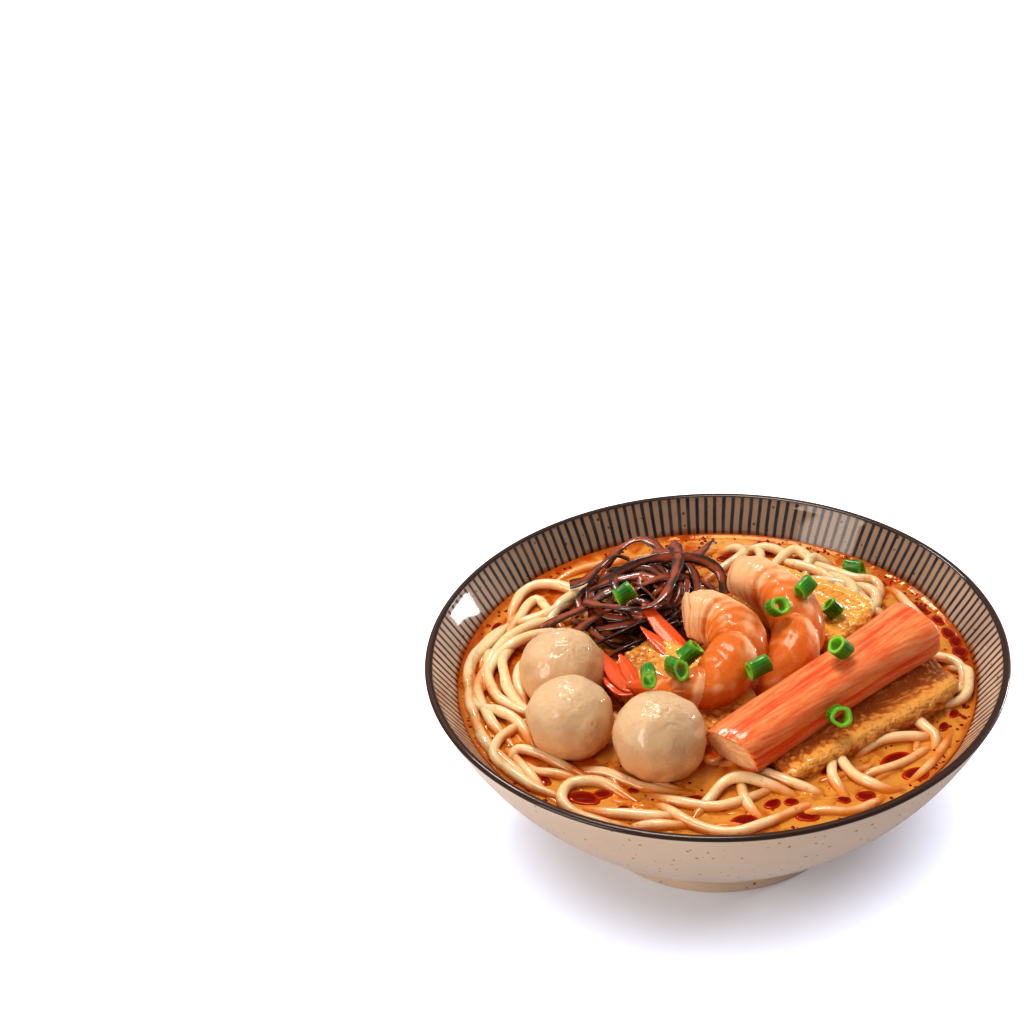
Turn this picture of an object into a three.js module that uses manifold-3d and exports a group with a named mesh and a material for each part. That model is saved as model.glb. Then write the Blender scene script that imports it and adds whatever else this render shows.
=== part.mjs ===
// A bowl of laksa noodle soup. Millimetres, +Z up. The origin is the middle of the foot's underside.
// -Y is the eater's side, where the broth lies open; the toppings are heaped behind it.
import * as THREE from "three";
import { mergeVertices } from "three/addons/utils/BufferGeometryUtils.js";
import Module from "manifold-3d";

const wasm = await Module();
wasm.setup();

// Driving dimensions
const RIM_RADIUS = 100;
const BOWL_HEIGHT = 70;
const LIP_WIDTH = 2.8;
const FOOT_RADIUS = 46.5;
const FOOT_HEIGHT = 8;
const FOOT_WALL = 5.5;
const FOOT_RECESS = 4.5;
const WELL_FLOOR = 12;
const BROTH_LEVEL = 57.5;
const NOODLE_RADIUS = 80;
const NOODLE_BASE = 18;
const FISH_BALL_RADIUS = 15;
const CRAB_STICK = { length: 86, width: 20, height: 17, slant: 0.22, rake: 0.25 };
const TOFU_THICKNESS = 8;
const ONION = { radius: 3.6, wall: 1.35 };
const GAP = 0.3;

// How finely the round forms are divided
const BOWL_SIDES = 48;
const CURVE_STEPS = 7;
const HEAP_SIDES = 30;
const FINEST_DETAIL = 0.12;
const WELD = 1e-3;

// Colours and finishes
const finish = (color, roughness) => new THREE.MeshStandardMaterial({ color, roughness, metalness: 0 });
const stoneware = finish(0xcbb29d, 0.35);
const soup = finish(0xd98a2b, 0.25);
const noodle = finish(0xf1d6a0, 0.45);
const fishPaste = finish(0xeedcc0, 0.45);
const prawnMeat = finish(0xee8248, 0.35);
const crabStickRed = finish(0xef6f3a, 0.4);
const friedTofu = finish(0xc98b3c, 0.6);
const woodEar = finish(0x4a2416, 0.3);
const onionGreen = finish(0x4aa524, 0.4);

// ---------- helpers ----------

// Leaves only merged positions, which is what a closed solid needs.
function welded(geometry) {
  const bare = geometry.index ? geometry.toNonIndexed() : geometry.clone();
  for (const name of Object.keys(bare.attributes)) {
    if (name !== "position") bare.deleteAttribute(name);
  }
  return mergeVertices(bare, WELD);
}

function toManifold(geometry) {
  const mesh = welded(geometry);
  const vertProperties = mesh.attributes.position.array;
  const triVerts = new Uint32Array(mesh.index.array);
  return new wasm.Manifold(new wasm.Mesh({ numProp: 3, vertProperties, triVerts }));
}

function fromManifold(solid) {
  const mesh = solid.simplify(FINEST_DETAIL).getMesh();
  const geometry = new THREE.BufferGeometry();
  geometry.setAttribute("position", new THREE.BufferAttribute(mesh.vertProperties, 3));
  geometry.setIndex(new THREE.BufferAttribute(mesh.triVerts, 1));
  geometry.computeVertexNormals();
  return geometry;
}

// Moves every vertex by a function of its place.
function reshaped(geometry, move) {
  const shape = welded(geometry);
  const place = shape.attributes.position;
  const point = new THREE.Vector3();
  for (let i = 0; i < place.count; i++) {
    point.fromBufferAttribute(place, i);
    move(point);
    place.setXYZ(i, point.x, point.y, point.z);
  }
  shape.computeVertexNormals();
  return shape;
}

// The same body, larger by the clearance on every side.
function grown(geometry, by) {
  const shape = welded(geometry);
  shape.computeVertexNormals();
  const place = shape.attributes.position;
  const normal = shape.attributes.normal;
  for (let i = 0; i < place.count; i++) {
    place.setXYZ(
      i,
      place.getX(i) + by * normal.getX(i),
      place.getY(i) + by * normal.getY(i),
      place.getZ(i) + by * normal.getZ(i),
    );
  }
  return shape;
}

// Cuts a mesh clear of its neighbours and keeps the one large body that remains.
function settle(mesh, neighbours) {
  mesh.updateMatrixWorld(true);
  const toLocal = mesh.matrixWorld.clone().invert();
  let body = toManifold(mesh.geometry);
  for (const neighbour of neighbours) {
    const cutter = grown(neighbour.geometry, GAP)
      .applyMatrix4(neighbour.matrixWorld)
      .applyMatrix4(toLocal);
    const solid = toManifold(cutter);
    if (body.intersect(solid).volume() > 0) body = body.subtract(solid);
  }
  const pieces = body.simplify(FINEST_DETAIL).decompose();
  pieces.sort((a, b) => b.volume() - a.volume());
  mesh.geometry = fromManifold(pieces[0]);
  return mesh;
}

// Turns a half outline of [radius, height] pairs about the upright axis.
function turned(outline, sides) {
  const points = outline.map(([r, z]) => new THREE.Vector2(r, z));
  return new THREE.LatheGeometry(points, sides).rotateX(Math.PI / 2);
}

function arcPoints(centre, radius, from, to, steps) {
  return Array.from({ length: steps + 1 }, (_, i) => {
    const angle = THREE.MathUtils.degToRad(from + ((to - from) * i) / steps);
    return [centre[0] + radius * Math.cos(angle), centre[1] + radius * Math.sin(angle)];
  });
}

function bezier(a, b, c, d) {
  return new THREE.CubicBezierCurve(...[a, b, c, d].map(([x, y]) => new THREE.Vector2(x, y)));
}

const curvePoints = (curve, steps) => curve.getPoints(steps).map((p) => [p.x, p.y]);

// A body drawn out along a curve. Each station is [x, y, z, half width, half height], and
// section(angle) gives the outline of the cross-section round the curve.
function drawnOut(stations, sides, steps, section = () => 1, ridge = () => 1) {
  const path = new THREE.CatmullRomCurve3(stations.map(([x, y, z]) => new THREE.Vector3(x, y, z)));
  const girth = new THREE.CatmullRomCurve3(stations.map(([, , , w, h]) => new THREE.Vector3(w, h, 0)));
  const up = new THREE.Vector3(0, 0, 1);
  return reshaped(new THREE.CylinderGeometry(1, 1, 1, sides, steps), (p) => {
    const t = THREE.MathUtils.clamp(p.y + 0.5, 0, 1);
    const along = path.getTangent(t);
    const side = along.clone().cross(up).normalize();
    const top = side.clone().cross(along);
    const half = girth.getPoint(t);
    const swell = section(Math.atan2(p.z, p.x)) * ridge(t);
    const [x, z] = [p.x * half.x * swell, p.z * half.y * swell];
    p.copy(path.getPoint(t)).addScaledVector(side, x).addScaledVector(top, z);
  });
}

const laksa = new THREE.Group();

function place(name, geometry, material, position = [0, 0, 0], turn = [0, 0, 0]) {
  const mesh = new THREE.Mesh(geometry, material);
  mesh.name = name;
  mesh.position.set(...position);
  mesh.rotation.set(...turn.map(THREE.MathUtils.degToRad), "ZYX");
  mesh.updateMatrixWorld(true);
  laksa.add(mesh);
  return mesh;
}

// ---------- bowl ----------

const outerWall = bezier([49, FOOT_HEIGHT], [75, 28], [89, 44], [RIM_RADIUS, BOWL_HEIGHT - 1]);
const lipInner = RIM_RADIUS - LIP_WIDTH;
const innerWall = bezier([lipInner, BOWL_HEIGHT - 1], [80.5, 46.5], [61, 11], [0, WELL_FLOOR]);

function makeBowl() {
  const lip = arcPoints([RIM_RADIUS - LIP_WIDTH / 2, BOWL_HEIGHT - 1], LIP_WIDTH / 2, 0, 180, 4);
  const rounded = lip.map(([r, z]) => [r, BOWL_HEIGHT - 1 + (z - BOWL_HEIGHT + 1) / (LIP_WIDTH / 2)]);
  const outline = [
    [0, FOOT_RECESS],
    [FOOT_RADIUS - FOOT_WALL - 1.5, FOOT_RECESS],
    [FOOT_RADIUS - FOOT_WALL, 0],
    [FOOT_RADIUS - 0.6, 0],
    [FOOT_RADIUS, 0.6],
    [FOOT_RADIUS - 0.6, FOOT_HEIGHT - 1],
    ...curvePoints(outerWall, CURVE_STEPS),
    ...rounded.slice(1, -1),
    ...curvePoints(innerWall, CURVE_STEPS + 1),
  ];
  return turned(outline, BOWL_SIDES);
}

const bowl = place("bowl", makeBowl(), stoneware);

// ---------- toppings ----------

// A hand-rolled ball: nearly round, a little flat and lumpy.
function makeFishBall(radius) {
  return reshaped(new THREE.SphereGeometry(radius, 16, 9).rotateX(Math.PI / 2), (p) => {
    const angle = Math.atan2(p.y, p.x);
    const lump = 1 + 0.012 * Math.sin(3 * angle + 0.2 * p.z);
    p.multiplyScalar(lump);
  });
}

const fishBalls = [
  [[-52.2, -5.5, 65], 1.01],
  [[-48.2, -35.6, 67.5], 0.99],
  [[-18.3, -47, 68.5], 1.05],
].map(([at, size], i) =>
  place(`fish_ball_${i + 1}`, makeFishBall(FISH_BALL_RADIUS * size), fishPaste, at, [0, 0, 70 * i]),
);

// A cooked crab stick: a squarish bundle of strands, with lengthwise grooves, a near end cut on the
// slant and a spread far end.
function makeCrabStick() {
  const { length, width, height, slant, rake } = CRAB_STICK;
  const stations = [
    [0, 0, 0, 0.49, 0.47],
    [0.12, 0, 0, 0.5, 0.5],
    [0.45, 0, 0.01, 0.49, 0.5],
    [0.8, 0, 0.01, 0.52, 0.5],
    [0.93, 0, 0, 0.56, 0.52],
    [1, 0, -0.01, 0.47, 0.42],
  ].map(([x, y, z, w, h]) => [x * length, y, z * length, w * width, h * height]);
  const squarish = (angle) => {
    const corner = 1 / Math.pow(Math.abs(Math.cos(angle)) ** 3.2 + Math.abs(Math.sin(angle)) ** 3.2, 1 / 3.2);
    return corner * (1 - 0.025 * Math.cos(8 * angle));
  };
  return reshaped(drawnOut(stations, 16, 7, squarish), (p) => {
    const nearness = THREE.MathUtils.clamp(1 - p.x / (length / 5), 0, 1);
    p.x -= nearness * (slant * p.y + rake * p.z);
  });
}

const crabStick = place("crab_stick", makeCrabStick(), crabStickRed, [5, -51.5, 66], [0, -6.7, 40.6]);

// A peeled cooked prawn, curled on its side, with ringed segments and a tail fan of two blades.
function makePrawn(stations, blades) {
  const rings = (t) => 1 + 0.035 * Math.cos(t * 6 * 2 * Math.PI);
  let body = toManifold(drawnOut(stations, 12, 18, () => 1, rings));
  for (const blade of blades) {
    body = body.add(toManifold(drawnOut(blade, 6, 4)));
  }
  return fromManifold(body);
}

const prawn1 = place(
  "prawn_1",
  makePrawn(
    [
      [-10, 11, 76, 6.6, 6.4],
      [-7.5, 11.3, 76, 7.9, 7.8],
      [-1, 9.5, 76, 8.9, 8.6],
      [5, 4, 75.5, 9.6, 9],
      [7.5, -5, 74.5, 9.7, 9],
      [4.5, -15, 73, 9.4, 8.6],
      [-2, -22, 71, 8.4, 7.8],
      [-10, -23.5, 69, 6.4, 6.4],
      [-17, -20, 67.5, 4.2, 4.8],
      [-25, -17.5, 66, 3.2, 3.6],
      [-29.5, -16.5, 66, 2.2, 2.4],
    ],
    [
      [
        [-27, -17, 66, 2.2, 1.4],
        [-32, -12, 67, 3.6, 1],
        [-36.5, -6, 68, 2.6, 0.8],
        [-38.3, -1, 69, 0.6, 0.5],
      ],
      [
        [-27, -17, 66, 1.8, 1.2],
        [-29, -11.5, 67, 2.6, 0.9],
        [-31.5, -5.5, 68, 2.2, 0.8],
        [-32.5, -2.5, 68.5, 0.6, 0.5],
      ],
    ],
  ),
  prawnMeat,
);

const prawn2 = place(
  "prawn_2",
  makePrawn(
    [
      [8.5, 40, 73, 6.4, 6],
      [11, 38, 73.5, 7.6, 7.2],
      [17, 33, 74, 8.4, 8],
      [24, 24.5, 73.5, 9, 8.4],
      [28, 11, 72, 9.2, 8.4],
      [26.5, -2, 69, 8.6, 7.6],
      [19, -10.5, 65.5, 7, 6],
      [9, -8.5, 62.5, 5, 4.2],
      [-1, -1, 62.5, 3.8, 3.4],
      [-8, 2, 65, 3.4, 3.2],
      [-12, 3, 66, 2.6, 2.2],
    ],
    [
      [
        [-9, 2.5, 65.5, 2.4, 1.4],
        [-14, 8, 67, 3.6, 1],
        [-20, 16, 69, 3, 0.9],
        [-25, 23.5, 71, 0.8, 0.5],
      ],
      [
        [-9, 2.5, 65, 2.2, 1.4],
        [-15, 4.5, 66, 3.6, 1],
        [-21, 8.5, 67, 2.4, 0.9],
        [-26, 13.5, 69, 0.5, 0.5],
      ],
    ],
  ),
  prawnMeat,
);

// A puffed slab of fried tofu with soft edges, a little bowed along its length.
function makeTofu(length, width, bow) {
  const block = new THREE.BoxGeometry(2, 2, 2, 8, 4, 2);
  return reshaped(block, (p) => {
    const [u, v, w] = [p.x, p.y, p.z];
    const corner = Math.hypot(Math.max(Math.abs(u) - 0.75, 0), Math.max(Math.abs(v) - 0.6, 0));
    const puff = 1 - 0.5 * Math.pow(Math.max(Math.abs(v), Math.abs(u)), 6) + 0.07 * Math.sin(5 * u + 4 * v);
    p.x = (length / 2) * u * (1 - 0.06 * v * v - 0.05 * corner);
    p.y = (width / 2) * v * (1 - 0.05 * u * u - 0.08 * Math.abs(w) - 0.1 * corner);
    p.z = (TOFU_THICKNESS / 2) * w * puff + bow * (u * u - 0.4);
  });
}

const tofu = [
  { length: 76, width: 28, bow: 1.2, at: [46.4, -25.5, 60.3], turn: [6, -2.5, 38.5] },
  { length: 54, width: 32, bow: -0.8, at: [-13, -13, 61.5], turn: [4, 0, -47] },
  { length: 48, width: 26, bow: 0.8, at: [31.5, 33.5, 62.5], turn: [8, -3, -41] },
].map(({ length, width, bow, at, turn }, i) =>
  place(`fried_tofu_${i + 1}`, makeTofu(length, width, bow), friedTofu, at, turn),
);

// Spring onion: short cut tubes of leaf. Each is [place, turn, length].
const springOnions = [
  [[-31.2, 20.5, 79], [0, 70, 25], 7],
  [[-8.5, -10, 75.5], [0, 55, 20], 7],
  [[-12.8, -24, 79.5], [0, 70, -60], 8],
  [[-21.8, -34.5, 84.5], [0, 90, 95], 6],
  [[21.5, 5.5, 83.5], [42, 28, 20], 5],
  [[31.4, 16.5, 83.5], [0, 75, 50], 7],
  [[41, 22.5, 70.5], [20, -38, -35], 5],
  [[41.5, -20.5, 84.5], [30, -30, -15], 6],
  [[14.6, -22, 78.5], [0, 80, 30], 8],
  [[40.5, -40, 71.5], [62, 24, 10], 5],
  [[51, 63, 59.5], [0, 85, -20], 7],
].map(([at, turn, length], i) => {
  const { radius, wall } = ONION;
  const outline = [
    [radius - wall, -length / 2],
    [radius, -length / 2],
    [radius, length / 2],
    [radius - wall, length / 2],
    [radius - wall, -length / 2],
  ];
  return place(`spring_onion_${i + 1}`, turned(outline, 10), onionGreen, at, turn);
});

// A heap with a wandering outline and a lumpy top.
function makeHeap(outline, sides, lobes, lumps) {
  return reshaped(turned(outline, sides), (p) => {
    const angle = Math.atan2(p.y, p.x);
    const stretch = lobes(angle);
    p.x *= stretch;
    p.y *= stretch;
    p.z += lumps(p);
  });
}

// Shredded wood ear, tangled into a low heap.
const woodEarHeap = place(
  "wood_ear",
  makeHeap(
    [
      [0, 54],
      [16, 54],
      [25, 57],
      [27, 61],
      [22, 67.5],
      [15, 71.5],
      [7, 73.5],
      [0, 74],
    ],
    24,
    (a) => 1 + 0.08 * Math.cos(2 * a - 0.6) + 0.06 * Math.sin(5 * a),
    (p) => (p.z > 60 ? 1.2 * Math.sin(0.42 * p.x) * Math.cos(0.38 * p.y) : 0),
  ),
  woodEar,
  [-25, 39, 0],
  [0, 0, 35],
);

// ---------- noodles and broth ----------

// Mounds where the noodles rise through the broth: [x, y, height, spread].
const mounds = [
  [0, 0, 4.5, 30],
  [-72, -16, 4, 9],
  [-66, 30, 4, 10],
  [-44, -62, 3.2, 9],
  [-8, -70, 3, 9],
  [30, -68, 3, 8],
  [64, -42, 3.2, 8],
  [78, 6, 3.6, 8],
  [14, 66, 3.6, 10],
  [52, 46, 3.4, 9],
];

function moundHeight(p) {
  return mounds.reduce((sum, [x, y, height, spread]) => {
    const away = Math.hypot(p.x - x, p.y - y) / spread;
    return sum + height * Math.exp(-away * away);
  }, 0);
}

const noodles = place(
  "noodles",
  makeHeap(
    [
      [0, NOODLE_BASE],
      [30, NOODLE_BASE],
      [56, 28],
      [72, 46],
      [NOODLE_RADIUS, BROTH_LEVEL - 4],
      [NOODLE_RADIUS - 4, BROTH_LEVEL - 1.6],
      ...[64, 50, 35, 18, 0].map((r) => [r, BROTH_LEVEL - 1.4]),
    ],
    HEAP_SIDES,
    (a) => 1 + 0.02 * Math.sin(3 * a) + 0.015 * Math.cos(7 * a + 1),
    (p) => (p.z > BROTH_LEVEL - 2 ? moundHeight(p) : 0),
  ),
  noodle,
);

// The place along the inner wall, from the lip to the middle, where it comes down to a height.
function alongWallAt(height) {
  let [above, below] = [0, 1];
  for (let i = 0; i < 30; i++) {
    const middle = (above + below) / 2;
    if (innerWall.getPoint(middle).y > height) above = middle;
    else below = middle;
  }
  return above;
}

function makeBroth() {
  const waterline = alongWallAt(BROTH_LEVEL);
  const outline = [[0, WELL_FLOOR + GAP]];
  for (let i = CURVE_STEPS - 1; i >= 0; i--) {
    const point = innerWall.getPoint(waterline + (i / CURVE_STEPS) * (1 - waterline));
    outline.push([point.x - GAP, i > 0 ? point.y + GAP : BROTH_LEVEL]);
  }
  outline.push([0, BROTH_LEVEL]);
  return turned(outline, BOWL_SIDES);
}

const broth = place("broth", makeBroth(), soup);

// ---------- how the pieces lie against each other ----------

settle(crabStick, fishBalls);
settle(prawn1, fishBalls);
settle(prawn2, [crabStick, prawn1]);
springOnions.forEach((piece) => settle(piece, [...fishBalls, crabStick, prawn1, prawn2]));
const upper = [...fishBalls, crabStick, prawn1, prawn2, ...springOnions];
tofu.forEach((slab, i) => settle(slab, [...upper, ...tofu.slice(0, i)]));
settle(woodEarHeap, [...upper, ...tofu]);
settle(noodles, [...upper, ...tofu, woodEarHeap]);
settle(broth, [...upper, ...tofu, woodEarHeap, noodles]);

export default laksa;
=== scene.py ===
"""Laksa noodle soup in a striped stoneware bowl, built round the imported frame.

Sizes inside the functions are in millimetres and turn into metres when a mesh is made.
+Z is up and the eater sits on the -Y side.
"""

import math
import random

import bmesh
import bpy
from bpy.props import FloatProperty, FloatVectorProperty, IntProperty, PointerProperty
from mathutils import Euler, Matrix, Vector, kdtree, noise


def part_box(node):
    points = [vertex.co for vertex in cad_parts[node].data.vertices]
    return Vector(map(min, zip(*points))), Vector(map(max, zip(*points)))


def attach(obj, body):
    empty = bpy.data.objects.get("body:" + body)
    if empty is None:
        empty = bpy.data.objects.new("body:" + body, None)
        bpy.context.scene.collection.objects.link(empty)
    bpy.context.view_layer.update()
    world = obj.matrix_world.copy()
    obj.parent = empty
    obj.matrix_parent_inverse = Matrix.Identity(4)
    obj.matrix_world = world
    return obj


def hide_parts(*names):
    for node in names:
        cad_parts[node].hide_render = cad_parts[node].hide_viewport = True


bl_info = {
    "name": "Laksa Noodle Soup",
    "version": (1, 0, 0),
    "blender": (4, 5, 0),
    "location": "3D View > Sidebar > Laksa",
    "description": "Builds a bowl of laksa noodle soup from its sizes and colours",
    "category": "Add Mesh",
}

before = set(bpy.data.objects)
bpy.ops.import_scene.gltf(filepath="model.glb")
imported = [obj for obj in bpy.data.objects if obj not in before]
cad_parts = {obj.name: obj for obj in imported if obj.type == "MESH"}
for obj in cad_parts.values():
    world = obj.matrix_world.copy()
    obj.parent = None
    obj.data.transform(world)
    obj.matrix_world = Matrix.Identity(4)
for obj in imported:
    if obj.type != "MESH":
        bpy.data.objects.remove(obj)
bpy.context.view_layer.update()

MM = 0.001
BODY = "root"
BOWL_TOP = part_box("bowl")[1]
BROTH_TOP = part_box("broth")[1]
LEVEL = BROTH_TOP.z / MM


def linear(text):
    """An sRGB hex colour as the linear values that shaders use."""
    channels = [int(text[i : i + 2], 16) / 255 for i in (1, 3, 5)]
    return tuple(c / 12.92 if c <= 0.04045 else ((c + 0.055) / 1.055) ** 2.4 for c in channels)


def colour_setting(label, about, text):
    """A colour that a user may change, with its sRGB hex default."""
    return FloatVectorProperty(
        name=label, description=about, subtype="COLOR", min=0, max=1, default=linear(text),
    )


def length_setting(label, about, millimetres):
    """A length that a user may change, stated in millimetres."""
    return FloatProperty(name=label, description=about, unit="LENGTH", min=0, default=millimetres * MM)


class LaksaBowlSettings(bpy.types.PropertyGroup):
    """Sizes and colours of the bowl."""

    rim_radius: length_setting("Rim radius", "Outside radius at the lip", BOWL_TOP.x / MM)
    height: length_setting("Height", "From the table to the lip", BOWL_TOP.z / MM)
    lip_width: length_setting("Lip width", "Thickness of the wall at the lip", 2.8)
    foot_radius: length_setting("Foot radius", "Outside radius of the foot ring", 46.5)
    stripes: IntProperty(name="Stripes", description="Painted lines round the inside", default=176)
    stripe_width: length_setting("Stripe width", "Width of one line near the lip", 1.3)
    glaze: colour_setting("Glaze", "Body colour of the glaze", "#ccb098")
    stripe: colour_setting("Stripe", "Colour of the painted lines", "#101c36")
    lip: colour_setting("Lip", "Iron brown where the glaze runs thin", "#42200e")


class LaksaBrothSettings(bpy.types.PropertyGroup):
    """Colours of the broth and of the chilli oil on it."""

    oily: colour_setting("Oily broth", "Broth under a film of chilli oil", "#bc4c04")
    creamy: colour_setting("Creamy broth", "Broth where coconut milk shows", "#d49240")
    oil: colour_setting("Chilli oil", "Drops of red oil", "#740a00")


class LaksaNoodleSettings(bpy.types.PropertyGroup):
    """Size, colour and lie of the noodles."""

    diameter: length_setting("Diameter", "Thickness of one cooked noodle", 3.9)
    wander: length_setting("Wander", "How far a noodle strays from a smooth curve", 0.7)
    seed: IntProperty(name="Seed", description="Which way the loose noodles fall", default=7)
    wheat: colour_setting("Wheat", "Colour of a clean noodle", "#f2d0a0")
    stained: colour_setting("Stained", "Colour of a noodle wet with oil", "#d87c18")


class LaksaToppingSettings(bpy.types.PropertyGroup):
    """Colours of the toppings."""

    fish_paste: colour_setting("Fish paste", "Fish ball", "#d8b894")
    prawn_orange: colour_setting("Prawn shell side", "Cooked orange of a prawn", "#d0540e")
    prawn_flesh: colour_setting("Prawn flesh", "Pale flesh of a prawn", "#eab284")
    prawn_tail: colour_setting("Prawn tail", "Tail fan of a prawn", "#e2561c")
    crab_skin: colour_setting("Crab stick skin", "Red outer strands", "#e24e14")
    crab_flesh: colour_setting("Crab stick flesh", "Pale inner strands", "#eea466")
    tofu_crust: colour_setting("Tofu crust", "Deep fried crust", "#b05c1a")
    tofu_blister: colour_setting("Tofu blisters", "Raised pale blisters", "#eaa44c")
    wood_ear: colour_setting("Wood ear", "Dark side of a strip", "#240e08")
    wood_ear_light: colour_setting("Wood ear, thin", "Where light comes through a strip", "#9c4216")
    leaf: colour_setting("Spring onion", "Outside of the leaf", "#2a8612")
    leaf_cut: colour_setting("Spring onion, cut", "Inside and cut edge of the leaf", "#82c436")


# ---------- node helpers ----------

RGBA = {"data_type": "RGBA"}
TINTED = {"data_type": "RGBA", "blend_type": "MULTIPLY"}
SMOOTH = {"interpolation_type": "SMOOTHSTEP"}
SUBTRACT = {"operation": "SUBTRACT"}
MULTIPLY = {"operation": "MULTIPLY"}
MULTIPLY_ADD = {"operation": "MULTIPLY_ADD"}
SPATIAL = {"noise_dimensions": "3D"}


def add(tree, kind, settings=None, inputs=None):
    """Adds a node, sets its properties, and fills its inputs with values, sockets or nodes.

    The kind of a shader node is given without its "ShaderNode".
    """
    made = tree.nodes.new(kind if kind.startswith(("Geometry", "NodeGroup")) else "ShaderNode" + kind)
    for name, value in (settings or {}).items():
        setattr(made, name, value)
    for name, value in (inputs or {}).items():
        if isinstance(name, int):
            socket = made.inputs[name]
        else:
            socket = next(s for s in made.inputs if s.enabled and s.name == name)
        if isinstance(value, bpy.types.Node):
            value = next(s for s in value.outputs if s.enabled)
        if isinstance(value, bpy.types.NodeSocket):
            tree.links.new(value, socket)
        else:
            socket.default_value = value
    return made


def new_material(name):
    """An empty node material, and its tree."""
    material = bpy.data.materials.new(name)
    material.use_nodes = True
    material.node_tree.nodes.clear()
    return material, material.node_tree


def per(millimetres):
    """The scale that makes a pattern repeat about every so many millimetres."""
    return 1 / (millimetres * MM)


def rgba(colour):
    """A colour setting as the four values of a colour socket."""
    return (*colour, 1.0)


def fixed(text):
    """A colour that no setting changes, from its sRGB hex."""
    return rgba(linear(text))


def shaded(colour, *shares):
    """A colour setting with its channels scaled, by one share or by one for each."""
    shares = shares if len(shares) > 1 else shares * 3
    return rgba([min(1, c * share) for c, share in zip(colour, shares)])


def finish_material(tree, shader, height=None, depth=0.1, strength=1.0):
    """Joins the shader to the output, with relief of a depth in millimetres."""
    if height is not None:
        bump = add(
            tree, "Bump", inputs={"Height": height, "Distance": depth * MM, "Strength": strength},
        )
        tree.links.new(bump.outputs[0], shader.inputs["Normal"])
    add(tree, "OutputMaterial", inputs={"Surface": shader})


# ---------- mesh helpers ----------


def new_object(name, data):
    """An object in the scene, at the origin."""
    obj = bpy.data.objects.new(name, data)
    bpy.context.scene.collection.objects.link(obj)
    return obj


def face_outwards(mesh):
    """Turns every face of a closed mesh outwards."""
    solid = bmesh.new()
    solid.from_mesh(mesh)
    bmesh.ops.recalc_face_normals(solid, faces=solid.faces)
    solid.to_mesh(mesh)
    solid.free()


def new_piece(name, points, faces, material, attributes=None):
    """A smooth mesh object from points in millimetres, with its faces turned outwards."""
    mesh = bpy.data.meshes.new(name)
    mesh.from_pydata([tuple(c * MM for c in p) for p in points], [], faces)
    for key, values in (attributes or {}).items():
        mesh.attributes.new(key, "FLOAT", "POINT").data.foreach_set("value", values)
    face_outwards(mesh)
    mesh.materials.append(material)
    mesh.shade_smooth()
    return new_object(name, mesh)


def settle(piece, slot, *nodes):
    """Puts a piece on the bowl's body, in place of its plain solids."""
    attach(piece, BODY)
    if nodes:
        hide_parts(*nodes)


def tube_faces(rings, sides):
    """Quads between rings, and fans onto the two middle points that follow the rings."""
    faces = []
    for i in range(rings - 1):
        for j in range(sides):
            k = (j + 1) % sides
            faces.append((i * sides + j, i * sides + k, (i + 1) * sides + k, (i + 1) * sides + j))
    start, end = rings * sides, rings * sides + 1
    last = (rings - 1) * sides
    for j in range(sides):
        k = (j + 1) % sides
        faces.append((start, k, j))
        faces.append((end, last + j, last + k))
    return faces


def through(points, steps):
    """A smooth curve through points of any number of coordinates."""
    before = tuple(2 * a - b for a, b in zip(points[0], points[1]))
    after = tuple(2 * a - b for a, b in zip(points[-1], points[-2]))
    ring = [before, *points, after]
    curve = []
    for i in range(1, len(ring) - 2):
        for step in range(steps):
            t = step / steps
            weights = (
                -t + 2 * t**2 - t**3, 2 - 5 * t**2 + 3 * t**3, t + 4 * t**2 - 3 * t**3, -(t**2) + t**3,
            )
            corners = zip(*ring[i - 1 : i + 3])
            curve.append(tuple(sum(w * c for w, c in zip(weights, axis)) / 2 for axis in corners))
    curve.append(tuple(points[-1]))
    return curve


def bezier(a, b, c, d, steps):
    """Points along a cubic curve, with both its ends."""
    curve = []
    for step in range(steps + 1):
        t = step / steps
        weights = ((1 - t) ** 3, 3 * t * (1 - t) ** 2, 3 * t * t * (1 - t), t**3)
        curve.append(tuple(sum(w * p for w, p in zip(weights, axis)) for axis in zip(a, b, c, d)))
    return curve


def round_a_ring(sides):
    """Evenly spaced angles round a circle."""
    return [2 * math.pi * j / sides for j in range(sides)]


def placed(middle, turns):
    """The matrix that turns a piece by degrees and moves it to its middle."""
    return Matrix.Translation(middle) @ Euler([math.radians(a) for a in turns]).to_matrix().to_4x4()


def smooth_step(low, high, value):
    """0 below low, 1 above high and an even rise between."""
    t = min(max((value - low) / (high - low), 0), 1)
    return t * t * (3 - 2 * t)


def drawn_out(stations, sides, steps, outline):
    """Points of a body drawn out along stations of x, y, z, half width and half height.

    outline(t, angle) gives a point of the section, in half widths and half heights. The result
    also has each point's t and its place across and up the section.
    """
    path = through(stations, steps)
    centres = [Vector(s[:3]) for s in path]
    points, along, across, upward = [], [], [], []
    for i, station in enumerate(path):
        tangent = (centres[min(i + 1, len(path) - 1)] - centres[max(i - 1, 0)]).normalized()
        side = tangent.cross(Vector((0, 0, 1))).normalized()
        top = side.cross(tangent)
        t = i / (len(path) - 1)
        for angle in round_a_ring(sides):
            u, v = outline(t, angle)
            points.append(centres[i] + side * (u * station[3]) + top * (v * station[4]))
            along.append(t)
            across.append(u)
            upward.append(v)
    for i in (0, -1):
        points.append(centres[i])
        along.append(float(i != 0))
        across.append(0.0)
        upward.append(0.0)
    return points, tube_faces(len(path), sides), {"along": along, "across": across, "upward": upward}


def joined(parts):
    """One list of points, faces and attributes from several."""
    points, faces, attributes = [], [], {}
    for some_points, some_faces, some_attributes in parts:
        first = len(points)
        points += some_points
        faces += [tuple(first + i for i in face) for face in some_faces]
        for key, values in some_attributes.items():
            attributes.setdefault(key, []).extend(values)
    return points, faces, attributes


# ---------- bowl ----------

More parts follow.
